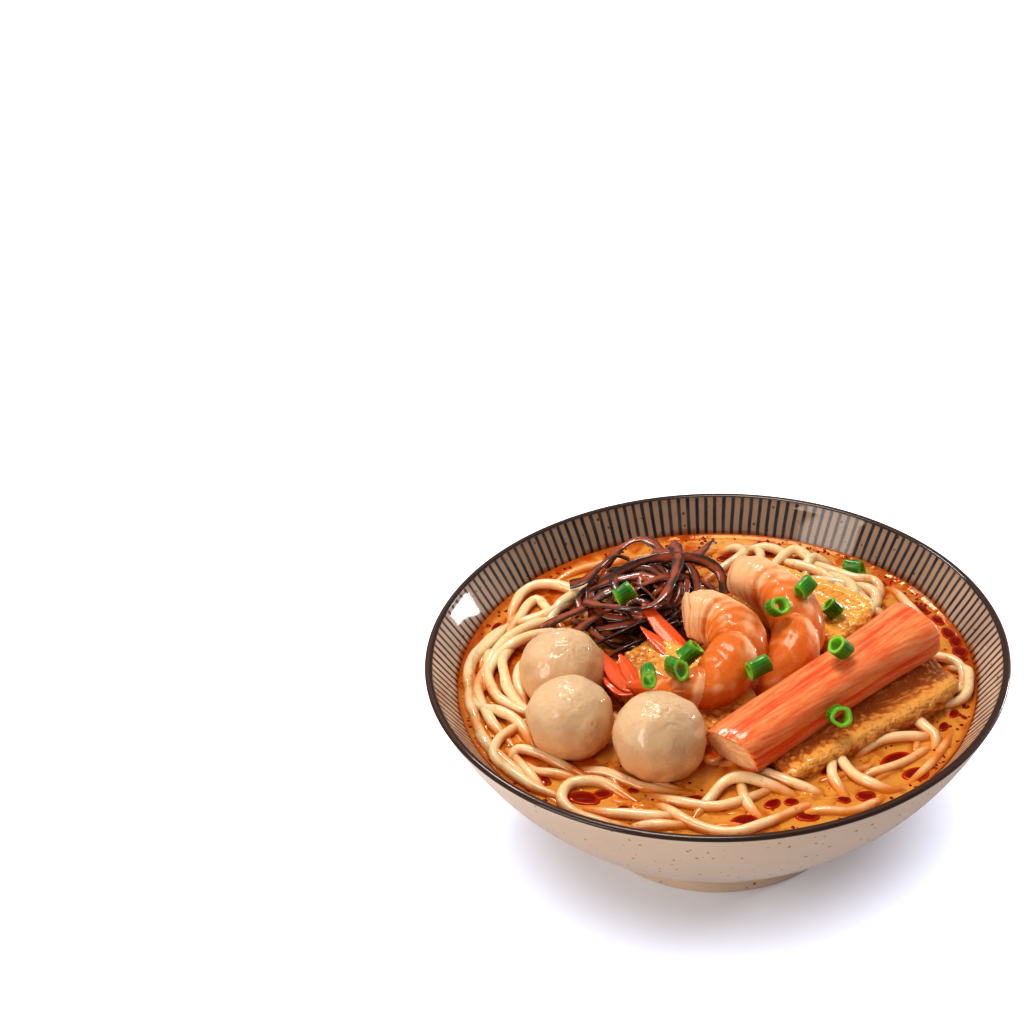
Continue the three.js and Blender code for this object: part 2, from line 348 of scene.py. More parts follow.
OUTER_WALL = ((49, 8), (75, 28), (89, 44), (100, 69))
INNER_WALL = ((97.2, 69), (80.5, 46.5), (61, 11), (0, 12))
# Thickness of the foot ring, and how far the underside inside it is from the table.
FOOT_WALL = 5.5
RECESS = 4.5
BOWL_SIDES = 288


INNER_CURVE = bezier(*INNER_WALL, 200)


def wall_radius_at(height):
    """Inside radius of the bowl at a height."""
    return next(r for r, z in INNER_CURVE if z <= height)


def bowl_outline(bowl):
    """Radius, height and distance from the lip's crest of each ring, from underside to well."""
    rim, height = bowl.rim_radius / MM, bowl.height / MM
    foot, lip = bowl.foot_radius / MM, bowl.lip_width / MM
    under = [
        (0, RECESS), (foot - FOOT_WALL - 4, RECESS), (foot - FOOT_WALL - 1.6, RECESS - 0.5),
        (foot - FOOT_WALL - 0.6, 1.2), (foot - FOOT_WALL, 0.3), (foot - FOOT_WALL + 0.5, 0),
        (foot - 1, 0), (foot - 0.35, 0.2), (foot, 0.8), (foot - 0.3, 3.5), (foot - 0.5, 6), (foot, 7),
    ]
    outer = bezier(*OUTER_WALL, 30)
    outer[0] = (foot + 1, 7.5)
    crest = [
        (rim - lip / 2 + lip / 2 * math.cos(math.pi * k / 10), height - 1 + math.sin(math.pi * k / 10))
        for k in range(1, 10)
    ]
    rings = under + outer + crest + bezier(*INNER_WALL, 44)
    travelled = [0.0]
    for (r0, z0), (r1, z1) in zip(rings, rings[1:]):
        travelled.append(travelled[-1] + math.hypot(r1 - r0, z1 - z0))
    top = travelled[len(under) + len(outer) + 4]
    return [(r, z, s - top) for (r, z), s in zip(rings, travelled)]


def stoneware_glaze(bowl):
    """Stoneware, wheel-thrown, brushed with cobalt lines and glazed.

    Gives a satin beige with iron specks, dark hand-painted lines, and a brown lip where the
    glaze has run thin.
    """
    material, tree = new_material("stoneware, wheel-thrown and glazed")
    place = add(tree, "TexCoord").outputs["Object"]
    apart = add(tree, "SeparateXYZ", inputs={"Vector": place})
    from_lip = add(tree, "Attribute", {"attribute_name": "from_lip"}).outputs["Fac"]

    # The brush lines waver by about half a millimetre.
    waver = add(tree, "TexNoise", inputs={"Vector": place, "Scale": per(16), "Detail": 1.0})
    sway = add(tree, "Math", MULTIPLY, {0: waver, 1: 0.35})
    angle = add(tree, "Math", {"operation": "ARCTAN2"}, {0: apart.outputs["Y"], 1: apart.outputs["X"]})
    turns = add(tree, "Math", MULTIPLY_ADD, {0: angle, 1: bowl.stripes / (2 * math.pi), 2: sway})
    beat = add(tree, "Math", {"operation": "PINGPONG"}, {0: turns, 1: 0.5})
    pitch = 2 * math.pi * (bowl.rim_radius - 0.006) / bowl.stripes
    share = bowl.stripe_width / pitch / 2
    line = add(
        tree, "MapRange", SMOOTH, {"Value": beat, "From Min": share * 1.35, "From Max": share * 0.65},
    )
    # The lines start under the lip's brown edge, some a little lower.
    start = add(tree, "Math", MULTIPLY_ADD, {0: waver, 1: -0.8, 2: from_lip})
    painted = add(tree, "MapRange", SMOOTH, {"Value": start, "From Min": 0.7, "From Max": 1.1})
    lines = add(tree, "Math", MULTIPLY, {0: line, 1: painted})
    thin_paint = add(tree, "TexNoise", inputs={"Vector": place, "Scale": per(9), "Detail": 3.0})
    paint = add(
        tree, "MapRange",
        inputs={"Value": thin_paint, "From Min": 0.3, "From Max": 0.62, "To Min": 0.82, "To Max": 1.0},
    )
    lines = add(tree, "Math", MULTIPLY, {0: lines, 1: paint})

    # Iron specks of up to a millimetre or so, a few millimetres apart.
    cells = add(tree, "TexVoronoi", inputs={"Vector": place, "Scale": per(2.6)})
    size = add(
        tree, "MapRange",
        inputs={
            "Value": cells.outputs["Color"], "From Min": 0.42, "From Max": 1.0, "To Min": 0.0,
            "To Max": 0.3,
        },
    )
    speck = add(tree, "Math", SUBTRACT, {0: size, 1: cells.outputs["Distance"]})
    speck = add(tree, "MapRange", inputs={"Value": speck, "From Min": -0.04, "From Max": 0.06})
    cloud = add(tree, "TexNoise", inputs={"Vector": place, "Scale": per(22), "Detail": 4.0})
    glaze = add(
        tree, "Mix", RGBA, {"Factor": cloud, "A": rgba(bowl.glaze), "B": shaded(bowl.glaze, 0.84)},
    )
    speckled = add(tree, "Mix", RGBA, {"Factor": speck, "A": glaze, "B": fixed("#7a5230")})
    striped = add(tree, "Mix", RGBA, {"Factor": lines, "A": speckled, "B": rgba(bowl.stripe)})

    # Chilli oil creeps up the glaze just above the broth.
    wet = add(tree, "Math", MULTIPLY_ADD, {0: cloud, 1: -0.006, 2: apart.outputs["Z"]})
    stain = add(
        tree, "MapRange", SMOOTH,
        {"Value": wet, "From Min": (LEVEL - 0.6) * MM, "From Max": (LEVEL - 2.4) * MM},
    )
    inside = add(tree, "MapRange", inputs={"Value": from_lip, "From Min": 0.5, "From Max": 1.5})
    stain = add(tree, "Math", MULTIPLY, {0: stain, 1: inside})
    # Painted shade: the inside of the glaze is darkened towards the far side of the bowl.
    far = add(
        tree, "MapRange", SMOOTH,
        {"Value": apart.outputs["Y"], "From Min": 0.0, "From Max": 0.08, "To Max": 0.8},
    )
    far = add(tree, "Math", MULTIPLY, {0: far, 1: inside})
    striped = add(tree, "Mix", TINTED, {"Factor": far, "A": striped, "B": fixed("#a09080")})
    stained = add(tree, "Mix", TINTED, {"Factor": stain, "A": striped, "B": fixed("#e08a1c")})

    # The brown lip reaches about 2 mm down the outside and 1.5 mm down the inside.
    edge = add(tree, "Math", MULTIPLY_ADD, {0: cloud, 1: 0.9, 2: from_lip})
    off_crest = add(tree, "Math", {"operation": "ABSOLUTE"}, {0: edge})
    band = add(tree, "MapRange", SMOOTH, {"Value": off_crest, "From Min": 2.2, "From Max": 1.6})
    # The crest is painted lighter than the edges of the band, partly as a worn edge and partly as a
    # painted highlight.
    crest = add(tree, "MapRange", inputs={"Value": off_crest, "From Min": 0.9, "From Max": 0.0})
    brown = add(tree, "Mix", RGBA, {"Factor": crest, "A": shaded(bowl.lip, 0.35), "B": rgba(bowl.lip)})
    colour = add(tree, "Mix", RGBA, {"Factor": band, "A": stained, "B": brown})

    # Turning rings, wide apart and barely felt, under a fine orange-peel glaze.
    rings = add(
        tree, "TexWave", {"wave_type": "BANDS", "bands_direction": "Z"},
        {"Vector": place, "Scale": per(60), "Distortion": 1.5, "Detail": 1.0},
    )
    peel = add(tree, "TexNoise", inputs={"Vector": place, "Scale": per(1.6)})
    height = add(tree, "Math", MULTIPLY_ADD, {0: rings, 1: 1.4, 2: peel})
    shader = add(
        tree, "BsdfPrincipled",
        inputs={
            "Base Color": colour, "Roughness": 0.5, "Specular IOR Level": 0.2, "Coat Weight": 0.5,
            "Coat Roughness": 0.05,
        },
    )
    finish_material(tree, shader, height, depth=0.05)
    return material


class LAKSA_OT_bowl(bpy.types.Operator):
    """Throws the bowl: a lathe-turned wall with its foot ring, lip and painted lines"""

    bl_idname = "laksa.bowl"
    bl_label = "Bowl"

    def execute(self, context):
        bowl = context.scene.laksa_bowl
        outline = bowl_outline(bowl)
        points, from_lip = [], []
        for radius, height, distance in outline[1:-1]:
            for angle in round_a_ring(BOWL_SIDES):
                points.append((radius * math.cos(angle), radius * math.sin(angle), height))
                from_lip.append(distance)
        for radius, height, distance in (outline[0], outline[-1]):
            points.append((0, 0, height))
            from_lip.append(distance)
        faces = tube_faces(len(outline) - 2, BOWL_SIDES)
        piece = new_piece("stoneware_bowl", points, faces, stoneware_glaze(bowl), {"from_lip": from_lip})
        settle(piece, "stoneware", "bowl")
        return {"FINISHED"}


# ---------- noodles ----------

# Noodles that show, as they lie: x, y and height of the middle of the strand above the broth.
SHOWING_STRANDS = (
    # loops towards the eater
    ((-22, -69, -2), (-35, -59, 1), (-42, -58, 2), (-48, -60, 2), (-50, -67, 2), (-46, -73, 1),
     (-36, -78, 1), (-24, -81, -2)),
    ((-44, -67, -2), (-40, -71, 0), (-30, -74, 2), (-16, -75, 1), (-4, -72, -2)),
    ((-30, -79, -2), (-22, -79, 1), (-12, -79, 1), (-2, -76, -2)),
    ((-24, -66, -2), (-18, -69, 0), (-13, -75, 2), (-4, -81, 2), (4, -83, 2), (14, -80, 2), (27, -70, 0),
     (36, -62, -3)),
    ((-9, -77, -2), (-6, -72, 0), (-2, -66, 2), (2, -60, 3), (7, -58, 4), (14, -59, 3), (22, -62, 1),
     (30, -66, -3)),
    ((8, -55, -3), (8, -60, 1), (10, -69, 1), (16, -77, -2)),
    ((10, -50, -1), (14, -52, 1), (22, -57, 2), (31, -61, 1), (38, -64, -3)),
    ((38, -42, 0), (38, -48, 2), (38, -55, 2), (40, -61, 1), (44, -69, -3)),
    ((38, -40, 0), (40, -45, 2), (44, -53, 2), (50, -59, 2), (58, -61, 0), (66, -60, -3)),
    ((44, -57, -2), (51, -53, 1), (59, -49, 1), (67, -42, 0), (74, -34, -3)),
    ((56, -14, 0), (64, -19, 1), (66, -24, 2), (70, -30, 2), (73, -35, 1), (70, -43, -3)),
    ((44, -46, -2), (49, -41, 1), (55, -37, 2), (63, -35, 2), (71, -33, 0), (78, -27, -3)),
    ((26, -73, -2), (33, -72, 1), (42, -72, 1), (49, -69, 1), (56, -62, -2)),
    ((58, -71, -3), (66, -59, -0.5), (74, -46, 0), (80, -32, -1), (82, -20, -3)),
    # the tangle at the right wall
    ((72, 13, 1), (78, 8, 3), (83, 5, 3), (85, -1, 2), (83, -7, 1), (76, -12, -2)),
    ((82, 4, 1), (86, 0, 3), (86, -5, 3), (85, -12, 3), (81, -16, 2), (72, -18, 1), (62, -22, -2)),
    ((85, -8, 1), (77, -12, 3), (70, -18, 1), (62, -26, -2)),
    # the swirl at the left wall
    ((-62, -24, 0), (-68, -30, 2), (-73, -36, 2), (-74, -45, 2), (-70, -51, 1), (-63, -56, -2)),
    ((-68, -45, 0), (-66, -41, 2), (-59, -43, 2), (-52, -48, 1), (-43, -54, -1), (-34, -60, -3)),
    ((-68, -42, 0), (-65, -47, 1), (-60, -56, 1), (-53, -66, -1), (-44, -77, -3)),
    ((-64, -47, 0), (-59, -52, 1), (-51, -54, 1), (-40, -58, -2)),
    ((-44, -50, -1), (-37, -52, 1), (-30, -56, 1), (-23, -60, 1), (-8, -62, -1), (2, -66, -3)),
    ((-84, -10, 0), (-80, -18, 2), (-73, -22, 3), (-67, -27, 3), (-62, -35, 0)),
    ((-80, 14, 1), (-79, 5, 2), (-78, -4, 2), (-75, -12, 2), (-69, -18, 2), (-60, -22, 0)),
    ((-72, 16, 2), (-74, 6, 4), (-73, -2, 4), (-71, -10, 3), (-66, -18, 2), (-58, -24, 0)),
    ((-80, 2, 1), (-78, 10, 3), (-74, 18, 4), (-69, 24, 4), (-62, 30, 3), (-52, 34, 1)),
    ((-79, -2, 1), (-77, 8, 3), (-72, 15, 4), (-66, 20, 4), (-58, 25, 2)),
    ((-84, -4, 0), (-86, 4, 1), (-84, 12, 2), (-79, 20, 2), (-74, 30, 1), (-71, 40, -1)),
    ((-83, -28, 0), (-80, -36, 1), (-75, -50, 0), (-66, -62, 0), (-54, -72, -2)),
    # behind the wood ear
    ((-74, 34, -1), (-72, 44, 1), (-70, 50, 2), (-65, 54, 3), (-58, 54, 3), (-50, 51, 2), (-42, 48, 0)),
    ((-76, 22, 0), (-70, 34, 2), (-67, 43, 2), (-64, 46, 2), (-60, 40, 2), (-56, 32, 1)),
    ((-60, 30, 1), (-57, 38, 3), (-53, 44, 4), (-46, 51, 3), (-38, 60, 0)),
    ((-60, 60, -1), (-50, 66, 1), (-38, 71, 1), (-24, 75, 0), (-12, 76, -2)),
    # behind the prawns
    ((-2, 60, 0), (4, 66, 2), (9, 69, 4), (11, 73, 4), (7, 78, 2), (0, 77, -2)),
    ((8, 74, -1), (15, 77, 2), (20, 77, 3), (25, 75, 2), (30, 70, -1)),
    ((18, 60, 1), (23, 67, 3), (27, 72, 4), (31, 74, 4), (36, 70, 2), (40, 66, -2)),
    ((33, 56, 0), (34, 62, 2), (35, 67, 4), (38, 70, 3), (44, 68, -1)),
    ((32, 70, 0), (38, 66, 2), (44, 61, 3), (51, 57, 3), (58, 56, 2), (60, 50, 1), (57, 44, -1)),
    ((33, 58, 1), (40, 55, 3), (47, 53, 3), (54, 49, 1), (62, 42, -2)),
    ((50, 54, 1), (55, 50, 3), (58, 46, 3), (57, 40, 2), (52, 34, 0)),
    ((38, 49, 2), (45, 47, 4), (52, 45, 3), (58, 38, 1), (66, 30, -2)),
    ((60, 60, -3), (66, 50, 0), (70, 40, 1), (76, 30, 0), (82, 16, -3)),
    # more of them, a little lower, between the rest
    ((-86, -16, -1), (-87, -4, 1), (-86, 8, 2), (-82, 18, 2), (-76, 28, 1), (-70, 36, -1)),
    ((-70, -34, 0), (-76, -26, 2), (-80, -16, 2), (-82, -6, 1), (-81, 4, 0)),
    ((-78, -32, -1), (-82, -22, 1), (-85, -12, 1), (-86, 0, 0)),
    ((-66, 10, 1), (-68, 2, 3), (-68, -6, 3), (-66, -12, 1)),
    ((-60, -58, -1), (-68, -48, 1), (-76, -38, 1), (-81, -26, 1), (-84, -14, 0)),
    ((-52, -64, 0), (-60, -60, 1.5), (-68, -52, 1.5), (-73, -44, 1), (-77, -34, 0)),
    ((-76, 30, 0), (-68, 32, 2), (-60, 36, 3), (-54, 42, 3), (-50, 50, 1)),
    ((-30, 66, 0), (-20, 70, 2), (-10, 72, 2), (-2, 70, 1), (4, 66, 0)),
    ((40, 62, 1), (46, 56, 3), (50, 50, 4), (50, 42, 3), (46, 36, 1)),
    ((24, 70, 1), (30, 66, 3), (38, 60, 4), (44, 54, 3), (48, 46, 1)),
    ((14, 64, 1), (17, 70, 3), (16, 76, 2), (10, 80, 0)),
    ((-20, -64, 0), (-12, -68, 1.5), (0, -70, 1.5), (10, -66, 1), (18, -60, 0)),
)


FREE_STRANDS = 140
# Every strand lies this much lower than it is stated.
SUNK = 0.8
# The end of a strand that shows runs on this far and goes down this deep.
DUCK_RUN = 7
DUCK_DEPTH = 2
# The least distance from the middle of a strand to the glaze.
WALL_GAP = 2.6


def free_strands(seed):
    """Noodles that lie just under the broth and break its surface here and there."""
    rng = random.Random(seed)
    strands = []
    for _ in range(FREE_STRANDS):
        turn, radius = rng.uniform(0, 2 * math.pi), rng.uniform(28, 82)
        swing = rng.choice((-1, 1)) * rng.uniform(0.45, 1.0)
        drift = rng.uniform(-12, 6)
        depth = rng.uniform(-3.2, -1.4)
        crest = rng.randrange(1, 5)
        points = []
        for k in range(6):
            r = min(max(radius + drift * k / 5 + rng.uniform(-4, 4), 12), 83)
            a = turn + swing * k / 5
            lift = rng.uniform(0.8, 2.6) if k == crest else rng.uniform(-0.6, 0.6)
            points.append((r * math.cos(a), r * math.sin(a), depth + lift))
        strands.append(tuple(points))
    return strands


def open_sweep(title, lengths):
    """A geometry tree with its inputs, and its routes cut into even steps."""
    tree = bpy.data.node_groups.new(title, "GeometryNodeTree")
    sockets = [("Routes", "Geometry"), *((name, "Float") for name in lengths), ("Material", "Material")]
    for name, kind in sockets:
        tree.interface.new_socket(name, in_out="INPUT", socket_type="NodeSocket" + kind)
    tree.interface.new_socket("Strands", in_out="OUTPUT", socket_type="NodeSocketGeometry")
    given = add(tree, "NodeGroupInput").outputs
    lengthwise = {"Curve": given["Routes"], "Length": given["Step"]}
    return tree, given, add(tree, "GeometryNodeResampleCurve", {"mode": "LENGTH"}, lengthwise)


def close_sweep(tree, given, curve, profile, girth):
    """Sweeps a profile along the curves, and ends the tree with one real, smooth mesh."""
    sized = add(tree, "GeometryNodeSetCurveRadius", inputs={"Curve": curve, "Radius": girth})
    swept = add(
        tree, "GeometryNodeCurveToMesh",
        inputs={"Curve": sized, "Profile Curve": profile, "Scale": girth, "Fill Caps": True},
    )
    soft = add(tree, "GeometryNodeSetShadeSmooth", inputs={"Geometry": swept})
    real = add(tree, "GeometryNodeRealizeInstances", inputs={"Geometry": soft})
    done = add(tree, "GeometryNodeSetMaterial", inputs={"Geometry": real, "Material": given["Material"]})
    add(tree, "NodeGroupOutput", inputs={"Strands": done})
    return tree


def strand_tree():
    """Geometry nodes that turn curves into round strands that stray a little."""
    tree, given, even = open_sweep("round strands", ("Radius", "Step", "Wander"))
    stray = add(tree, "TexNoise", SPATIAL, {"Scale": per(17), "Detail": 1.0})
    centred = add(tree, "VectorMath", SUBTRACT, {0: stray.outputs["Color"], 1: (0.5, 0.5, 0.5)})
    scaled = add(
        tree, "VectorMath", {"operation": "SCALE"}, {"Vector": centred, "Scale": given["Wander"]},
    )
    moved = add(tree, "GeometryNodeSetPosition", inputs={"Geometry": even, "Offset": scaled})
    thickness = add(tree, "TexNoise", SPATIAL, {"Scale": per(11), "Detail": 1.0})
    thickness = add(
        tree, "MapRange",
        inputs={"Value": thickness, "From Min": 0.3, "From Max": 0.7, "To Min": 0.9, "To Max": 1.08},
    )
    girth = add(tree, "Math", MULTIPLY, {0: thickness, 1: given["Radius"]})
    ring = add(tree, "GeometryNodeCurvePrimitiveCircle", inputs={"Resolution": 10, "Radius": 1.0})
    return close_sweep(tree, given, moved, ring, girth)


def swept_piece(name, routes, tree, material, values):
    """Runs a geometry tree over smooth routes in millimetres, and keeps the plain mesh it makes."""
    data = bpy.data.curves.new(name + "_routes", "CURVE")
    data.dimensions = "3D"
    for route in routes:
        curve = through(route, 6)
        spline = data.splines.new("POLY")
        spline.points.add(len(curve) - 1)
        for point, (x, y, z) in zip(spline.points, curve):
            point.co = (x * MM, y * MM, z * MM, 1)
    source = new_object(name + "_routes", data)
    modifier = source.modifiers.new("strands", "NODES")
    modifier.node_group = tree
    ids = {item.name: item.identifier for item in tree.interface.items_tree if item.item_type == "SOCKET"}
    for key, value in {**values, "Material": material}.items():
        modifier[ids[key]] = value
    depsgraph = bpy.context.evaluated_depsgraph_get()
    mesh = bpy.data.meshes.new_from_object(source.evaluated_get(depsgraph))
    mesh.name = name
    face_outwards(mesh)
    bpy.data.objects.remove(source)
    return new_object(name, mesh)


def ducked(end, before):
    """A point beyond the end of a strand, where it has gone down under the broth."""
    along = (Vector(end[:2]) - Vector(before[:2])).normalized()
    beyond = Vector(end[:2]) + along * DUCK_RUN
    return (beyond.x, beyond.y, min(end[2], 0) - DUCK_DEPTH)


def noodle_routes(seed):
    """Every strand, with heights from the table."""
    strands = [
        (ducked(strand[0], strand[1]), *strand, ducked(strand[-1], strand[-2]))
        for strand in SHOWING_STRANDS
    ]
    strands += free_strands(seed)
    routes = []
    for strand in strands:
        route = []
        for x, y, h in strand:
            z = LEVEL + h - SUNK
            reach = wall_radius_at(z - 1) - WALL_GAP
            pull = min(1, reach / math.hypot(x, y))
            route.append((x * pull, y * pull, z))
        routes.append(tuple(route))
    return routes


def wheat_noodle(noodles):
    """Wheat noodle, extruded and boiled.

    Gives a smooth, wet, slightly see-through strand that is pale on top and stained by the oil
    where it meets the broth.
    """
    material, tree = new_material("wheat noodle, boiled")
    place = add(tree, "TexCoord").outputs["Object"]
    apart = add(tree, "SeparateXYZ", inputs={"Vector": place})
    blotch = add(tree, "TexNoise", inputs={"Vector": place, "Scale": per(12), "Detail": 3.0})
    streak = add(tree, "TexNoise", inputs={"Vector": place, "Scale": per(2), "Detail": 2.0})
    # Height above the broth, raised and lowered a millimetre or two by the blotches.
    soak = add(tree, "Math", MULTIPLY_ADD, {0: blotch, 1: -0.005, 2: apart.outputs["Z"]})
    stain = add(
        tree, "MapRange", SMOOTH,
        {"Value": soak, "From Min": (LEVEL + 0.7) * MM, "From Max": (LEVEL - 2.4) * MM},
    )
    fleck = add(
        tree, "MapRange", inputs={"Value": streak, "From Min": 0.62, "From Max": 0.74, "To Max": 0.45},
    )
    stain = add(tree, "Math", {"operation": "ADD", "use_clamp": True}, {0: stain, 1: fleck})
    colour = add(
        tree, "Mix", RGBA, {"Factor": stain, "A": rgba(noodles.wheat), "B": rgba(noodles.stained)},
    )
    fine = add(tree, "TexNoise", inputs={"Vector": place, "Scale": per(1.2)})
    shader = add(
        tree, "BsdfPrincipled",
        inputs={
            "Base Color": colour, "Roughness": 0.5, "Specular IOR Level": 0.2, "Subsurface Weight": 0.3,
            "Subsurface Radius": (1.0, 0.5, 0.2), "Subsurface Scale": 0.002, "Coat Weight": 0.9,
            "Coat Roughness": 0.06,
        },
    )
    finish_material(tree, shader, fine, depth=0.06)
    return material


# The heap under the strands: radius and height of each ring, from the bottom up.
NOODLE_CORE = (
    (0, 13.5), (30, 14), (52, 17), (60, 26), (66, 36), (70, 44), (66, 48), (52, 50), (30, 51), (0, 51),
)


def lathed(name, outline, sides, unevenness, material, middle=(0, 0), squash=1.0):
    """A closed, slightly uneven body turned from radii and heights."""
    points = []
    for radius, height in outline[1:-1]:
        for angle in round_a_ring(sides):
            spot = Vector((radius * math.cos(angle), radius * squash * math.sin(angle), height))
            out = unevenness * noise.noise(spot * 0.15)
            points.append((middle[0] + spot.x, middle[1] + spot.y, height + out))
    points += [(*middle, outline[0][1]), (*middle, outline[-1][1])]
    return new_piece(name, points, tube_faces(len(outline) - 2, sides), material)


class LAKSA_OT_noodles(bpy.types.Operator):
    """Lays the noodles: strands swept round along their routes, over a smaller heap"""

    bl_idname = "laksa.noodles"
    bl_label = "Noodles"

    def execute(self, context):
        noodles = context.scene.laksa_noodles
        material = wheat_noodle(noodles)
        values = {"Radius": noodles.diameter / 2, "Step": 1.6 * MM, "Wander": noodles.wander * 2}
        strands = swept_piece(
            "noodle_strands", noodle_routes(noodles.seed), strand_tree(), material, values,
        )
        settle(strands, "noodles", "noodles")
        core = lathed("noodle_core", NOODLE_CORE, 96, 0.8, material)
        settle(core, "noodles")
        return {"FINISHED"}


# ---------- broth and oil ----------


def coconut_broth(broth):
    """Coconut and chilli broth, simmered until the oil parts from the milk.

    Gives an opaque, glossy orange that turns creamy where the film of oil is thin, with fine
    dots of oil.
    """
    material, tree = new_material("coconut broth, simmered")
    place = add(tree, "TexCoord").outputs["Object"]
    under = add(tree, "Attribute", {"attribute_name": "noodle_under"}).outputs["Fac"]
    milky = add(tree, "Attribute", {"attribute_name": "milky"}).outputs["Fac"]
    edge = add(tree, "Attribute", {"attribute_name": "at_wall"}).outputs["Fac"]
    swirl = add(
        tree, "TexNoise", inputs={"Vector": place, "Scale": per(26), "Detail": 4.0, "Distortion": 1.2},
    )
    marble = add(
        tree, "TexNoise", inputs={"Vector": place, "Scale": per(6), "Detail": 5.0, "Distortion": 0.8},
    )
    mixed = add(tree, "Math", MULTIPLY_ADD, {0: marble, 1: 0.8, 2: swirl})
    mixed = add(tree, "Math", MULTIPLY_ADD, {0: milky, 1: 0.42, 2: mixed})
    creamy = add(tree, "MapRange", SMOOTH, {"Value": mixed, "From Min": 0.74, "From Max": 1.02})
    base = add(tree, "Mix", RGBA, {"Factor": creamy, "A": rgba(broth.oily), "B": rgba(broth.creamy)})
    pale = add(tree, "Math", MULTIPLY, {0: under, 1: 0.4})
    seen = add(tree, "Mix", RGBA, {"Factor": pale, "A": base, "B": fixed("#dc8a30")})
    # Red oil gathers along the noodles in patches.
    gathered = add(
        tree, "MapRange", SMOOTH, {"Value": marble, "From Min": 0.56, "From Max": 0.4, "To Max": 0.85},
    )
    gathered = add(tree, "Math", MULTIPLY, {0: gathered, 1: under})
    seen = add(tree, "Mix", RGBA, {"Factor": gathered, "A": seen, "B": fixed("#9c3400")})
    # Oil dots of up to a millimetre or two, thickest near the wall.
    dots = add(tree, "TexVoronoi", inputs={"Vector": place, "Scale": per(2.4)})
    chance = add(tree, "Math", MULTIPLY_ADD, {0: edge, 1: 0.35, 2: dots.outputs["Color"]})
    reach = add(
        tree, "MapRange",
        inputs={"Value": chance, "From Min": 0.62, "From Max": 1.2, "To Min": 0.0, "To Max": 0.42},
    )
    dot = add(tree, "Math", SUBTRACT, {0: reach, 1: dots.outputs["Distance"]})
    dot = add(
        tree, "MapRange", inputs={"Value": dot, "From Min": -0.03, "From Max": 0.05, "To Max": 0.8},
    )
    dotted = add(tree, "Mix", RGBA, {"Factor": dot, "A": seen, "B": fixed("#b8400a")})
    film = add(tree, "Mix", RGBA, {"Factor": edge, "A": dotted, "B": fixed("#a44402")})
    ripple = add(tree, "TexNoise", inputs={"Vector": place, "Scale": per(7), "Detail": 3.0})
    height = add(tree, "Math", MULTIPLY_ADD, {0: dot, 1: 0.3, 2: ripple})
    shader = add(
        tree, "BsdfPrincipled",
        inputs={
            "Base Color": film, "Roughness": 0.06, "IOR": 1.4, "Specular Tint": fixed("#ffc48c"),
            "Subsurface Weight": 0.15, "Subsurface Radius": (1.0, 0.45, 0.12),
            "Subsurface Scale": 0.003,
        },
    )
    finish_material(tree, shader, height, depth=0.9, strength=0.6)
    return material


def chilli_oil(broth):
    """Chilli oil, floating in drops.

    Gives a clear, very shiny dark red that glows orange where the drop is thin.
    """
    material, tree = new_material("chilli oil, floating")
    rim = add(tree, "Attribute", {"attribute_name": "rim"}).outputs["Fac"]
    thin = add(tree, "MapRange", SMOOTH, {"Value": rim, "From Min": 0.55, "From Max": 1.0})
    colour = add(tree, "Mix", RGBA, {"Factor": thin, "A": rgba(broth.oil), "B": fixed("#b83202")})
    shader = add(
        tree, "BsdfPrincipled",
        inputs={"Base Color": colour, "Roughness": 0.04, "IOR": 1.4, "Specular Tint": fixed("#ffb080")},
    )
    finish_material(tree, shader)
    return material


# Where the coconut milk shows most: x, y and how far it reaches.
MILKY_PLACES = (
    (66, -46, 26), (52, -66, 18), (78, -14, 20), (-80, -34, 20), (-72, -52, 14), (4, 82, 16),
    (-30, -84, 12), (-8, -72, 30), (30, -68, 24), (-46, -66, 20),
)


BROTH_SIDES = 320
BROTH_RINGS = 116
# Depths at which the underside follows the wall, and the depth of its middle.
LOWER_RINGS = (2, 8, 16, 26, 36)
BROTH_DEPTH = 42


